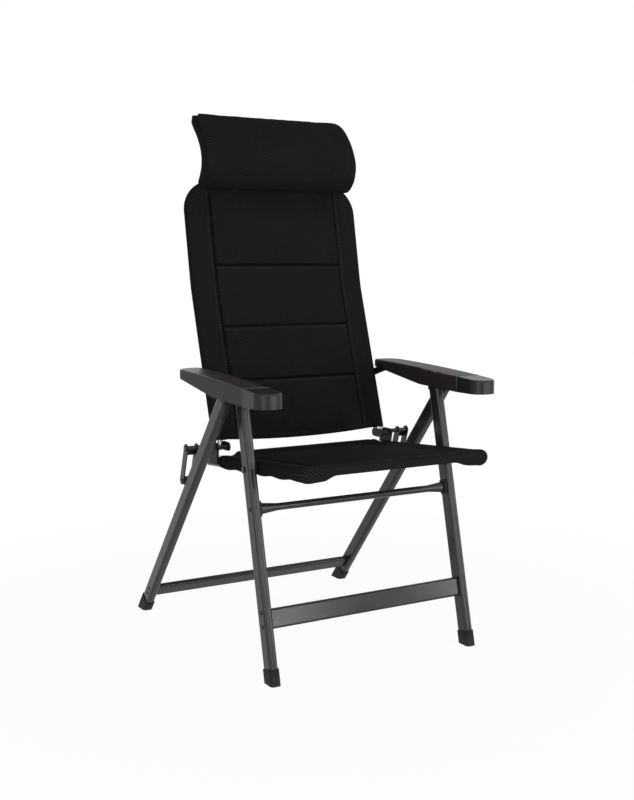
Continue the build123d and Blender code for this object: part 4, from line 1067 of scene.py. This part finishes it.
area_lamp("key_lamp", (-2.2, -2.5, 1.1), CHAIR_MIDDLE, 1.6, 1.6, 40.0)
area_lamp("left_leg_strip", (0.85, -2.4, 0.75), (-0.25, -0.2, 0.35), 0.2, 1.3, 12.0)
area_lamp("right_leg_strip", (1.84, -2.35, 0.75), (0.25, -0.2, 0.35), 0.2, 1.3, 12.0)
area_lamp("top_lamp", (0.55, -0.35, 2.1), (0.0, -0.2, 0.6), 0.3, 0.3, 3.5)
area_lamp("rear_lamp", (0.8, 2.4, 1.8), CHAIR_MIDDLE, 1.6, 1.6, 10.0)
print("studio with", len(bpy.data.lights), "lamps")

# %% Sky
SKY_HEIGHTS = (0.15, 0.8)
SKY_LIGHT = (0.36, 0.10)


def white_to_eye(tree):
    """1 for rays from the camera, from gloss and through glass, and 0 for rays that only carry light."""
    path = add_node(tree, "ShaderNodeLightPath")
    first = add_node(tree, "ShaderNodeMath", operation="MAXIMUM")
    both = add_node(tree, "ShaderNodeMath", operation="MAXIMUM")
    tree.links.new(path.outputs["Is Camera Ray"], first.inputs[0])
    tree.links.new(path.outputs["Is Glossy Ray"], first.inputs[1])
    tree.links.new(first.outputs[0], both.inputs[0])
    tree.links.new(path.outputs["Is Transmission Ray"], both.inputs[1])
    return both.outputs[0]


world = bpy.data.worlds.new("studio")
scene.world = world
world.use_nodes = True
tree = world.node_tree
sky = tree.nodes["Background"]
sky.inputs["Color"].default_value = (1.0, 1.0, 1.0, 1.0)
place = add_node(tree, "ShaderNodeTexCoord")
split = add_node(tree, "ShaderNodeSeparateXYZ")
pick = add_node(tree, "ShaderNodeMix", data_type="FLOAT")
pick.inputs["B"].default_value = 1.0
tree.links.new(place.outputs["Generated"], split.inputs[0])
tree.links.new(remap(tree, split.outputs["Z"], SKY_HEIGHTS, SKY_LIGHT), pick.inputs["A"])
tree.links.new(white_to_eye(tree), pick.inputs["Factor"])
tree.links.new(pick.outputs["Result"], sky.inputs["Strength"])
print("sky from", SKY_LIGHT[0], "at the sides to", SKY_LIGHT[1], "overhead")

# %% Floor
FLOOR_HALF = 9.0
SHADOW_REACH = (0.55, 1.6)
WHITE_SHARE = (0.955, 1.0)

floor_finish, tree, paint = start_finish("pale_floor", (0.86, 0.86, 0.86), 0.8)
glow = add_node(tree, "ShaderNodeEmission", Strength=1.0)
blend = add_node(tree, "ShaderNodeMixShader")
place = add_node(tree, "ShaderNodeTexCoord")
reach = add_node(tree, "ShaderNodeVectorMath", operation="LENGTH")
share_white = add_node(tree, "ShaderNodeMath", operation="MULTIPLY")
tree.links.new(place.outputs["Object"], reach.inputs[0])
white = remap(tree, reach.outputs["Value"], SHADOW_REACH, WHITE_SHARE, kind="SMOOTHSTEP")
tree.links.new(white, share_white.inputs[0])
tree.links.new(white_to_eye(tree), share_white.inputs[1])
tree.links.new(share_white.outputs[0], blend.inputs["Fac"])
tree.links.new(paint.outputs["BSDF"], blend.inputs[1])
tree.links.new(glow.outputs["Emission"], blend.inputs[2])
tree.links.new(blend.outputs["Shader"], tree.nodes["Material Output"].inputs["Surface"])
corners = FLOOR_HALF * np.array([[-1, -1, 0], [1, -1, 0], [1, 1, 0], [-1, 1, 0]])
floor = add_mesh("floor", corners, [[0, 1, 2, 3]], corners[:, :2], floor_finish)
print("floor of", 2 * FLOOR_HALF, "m")
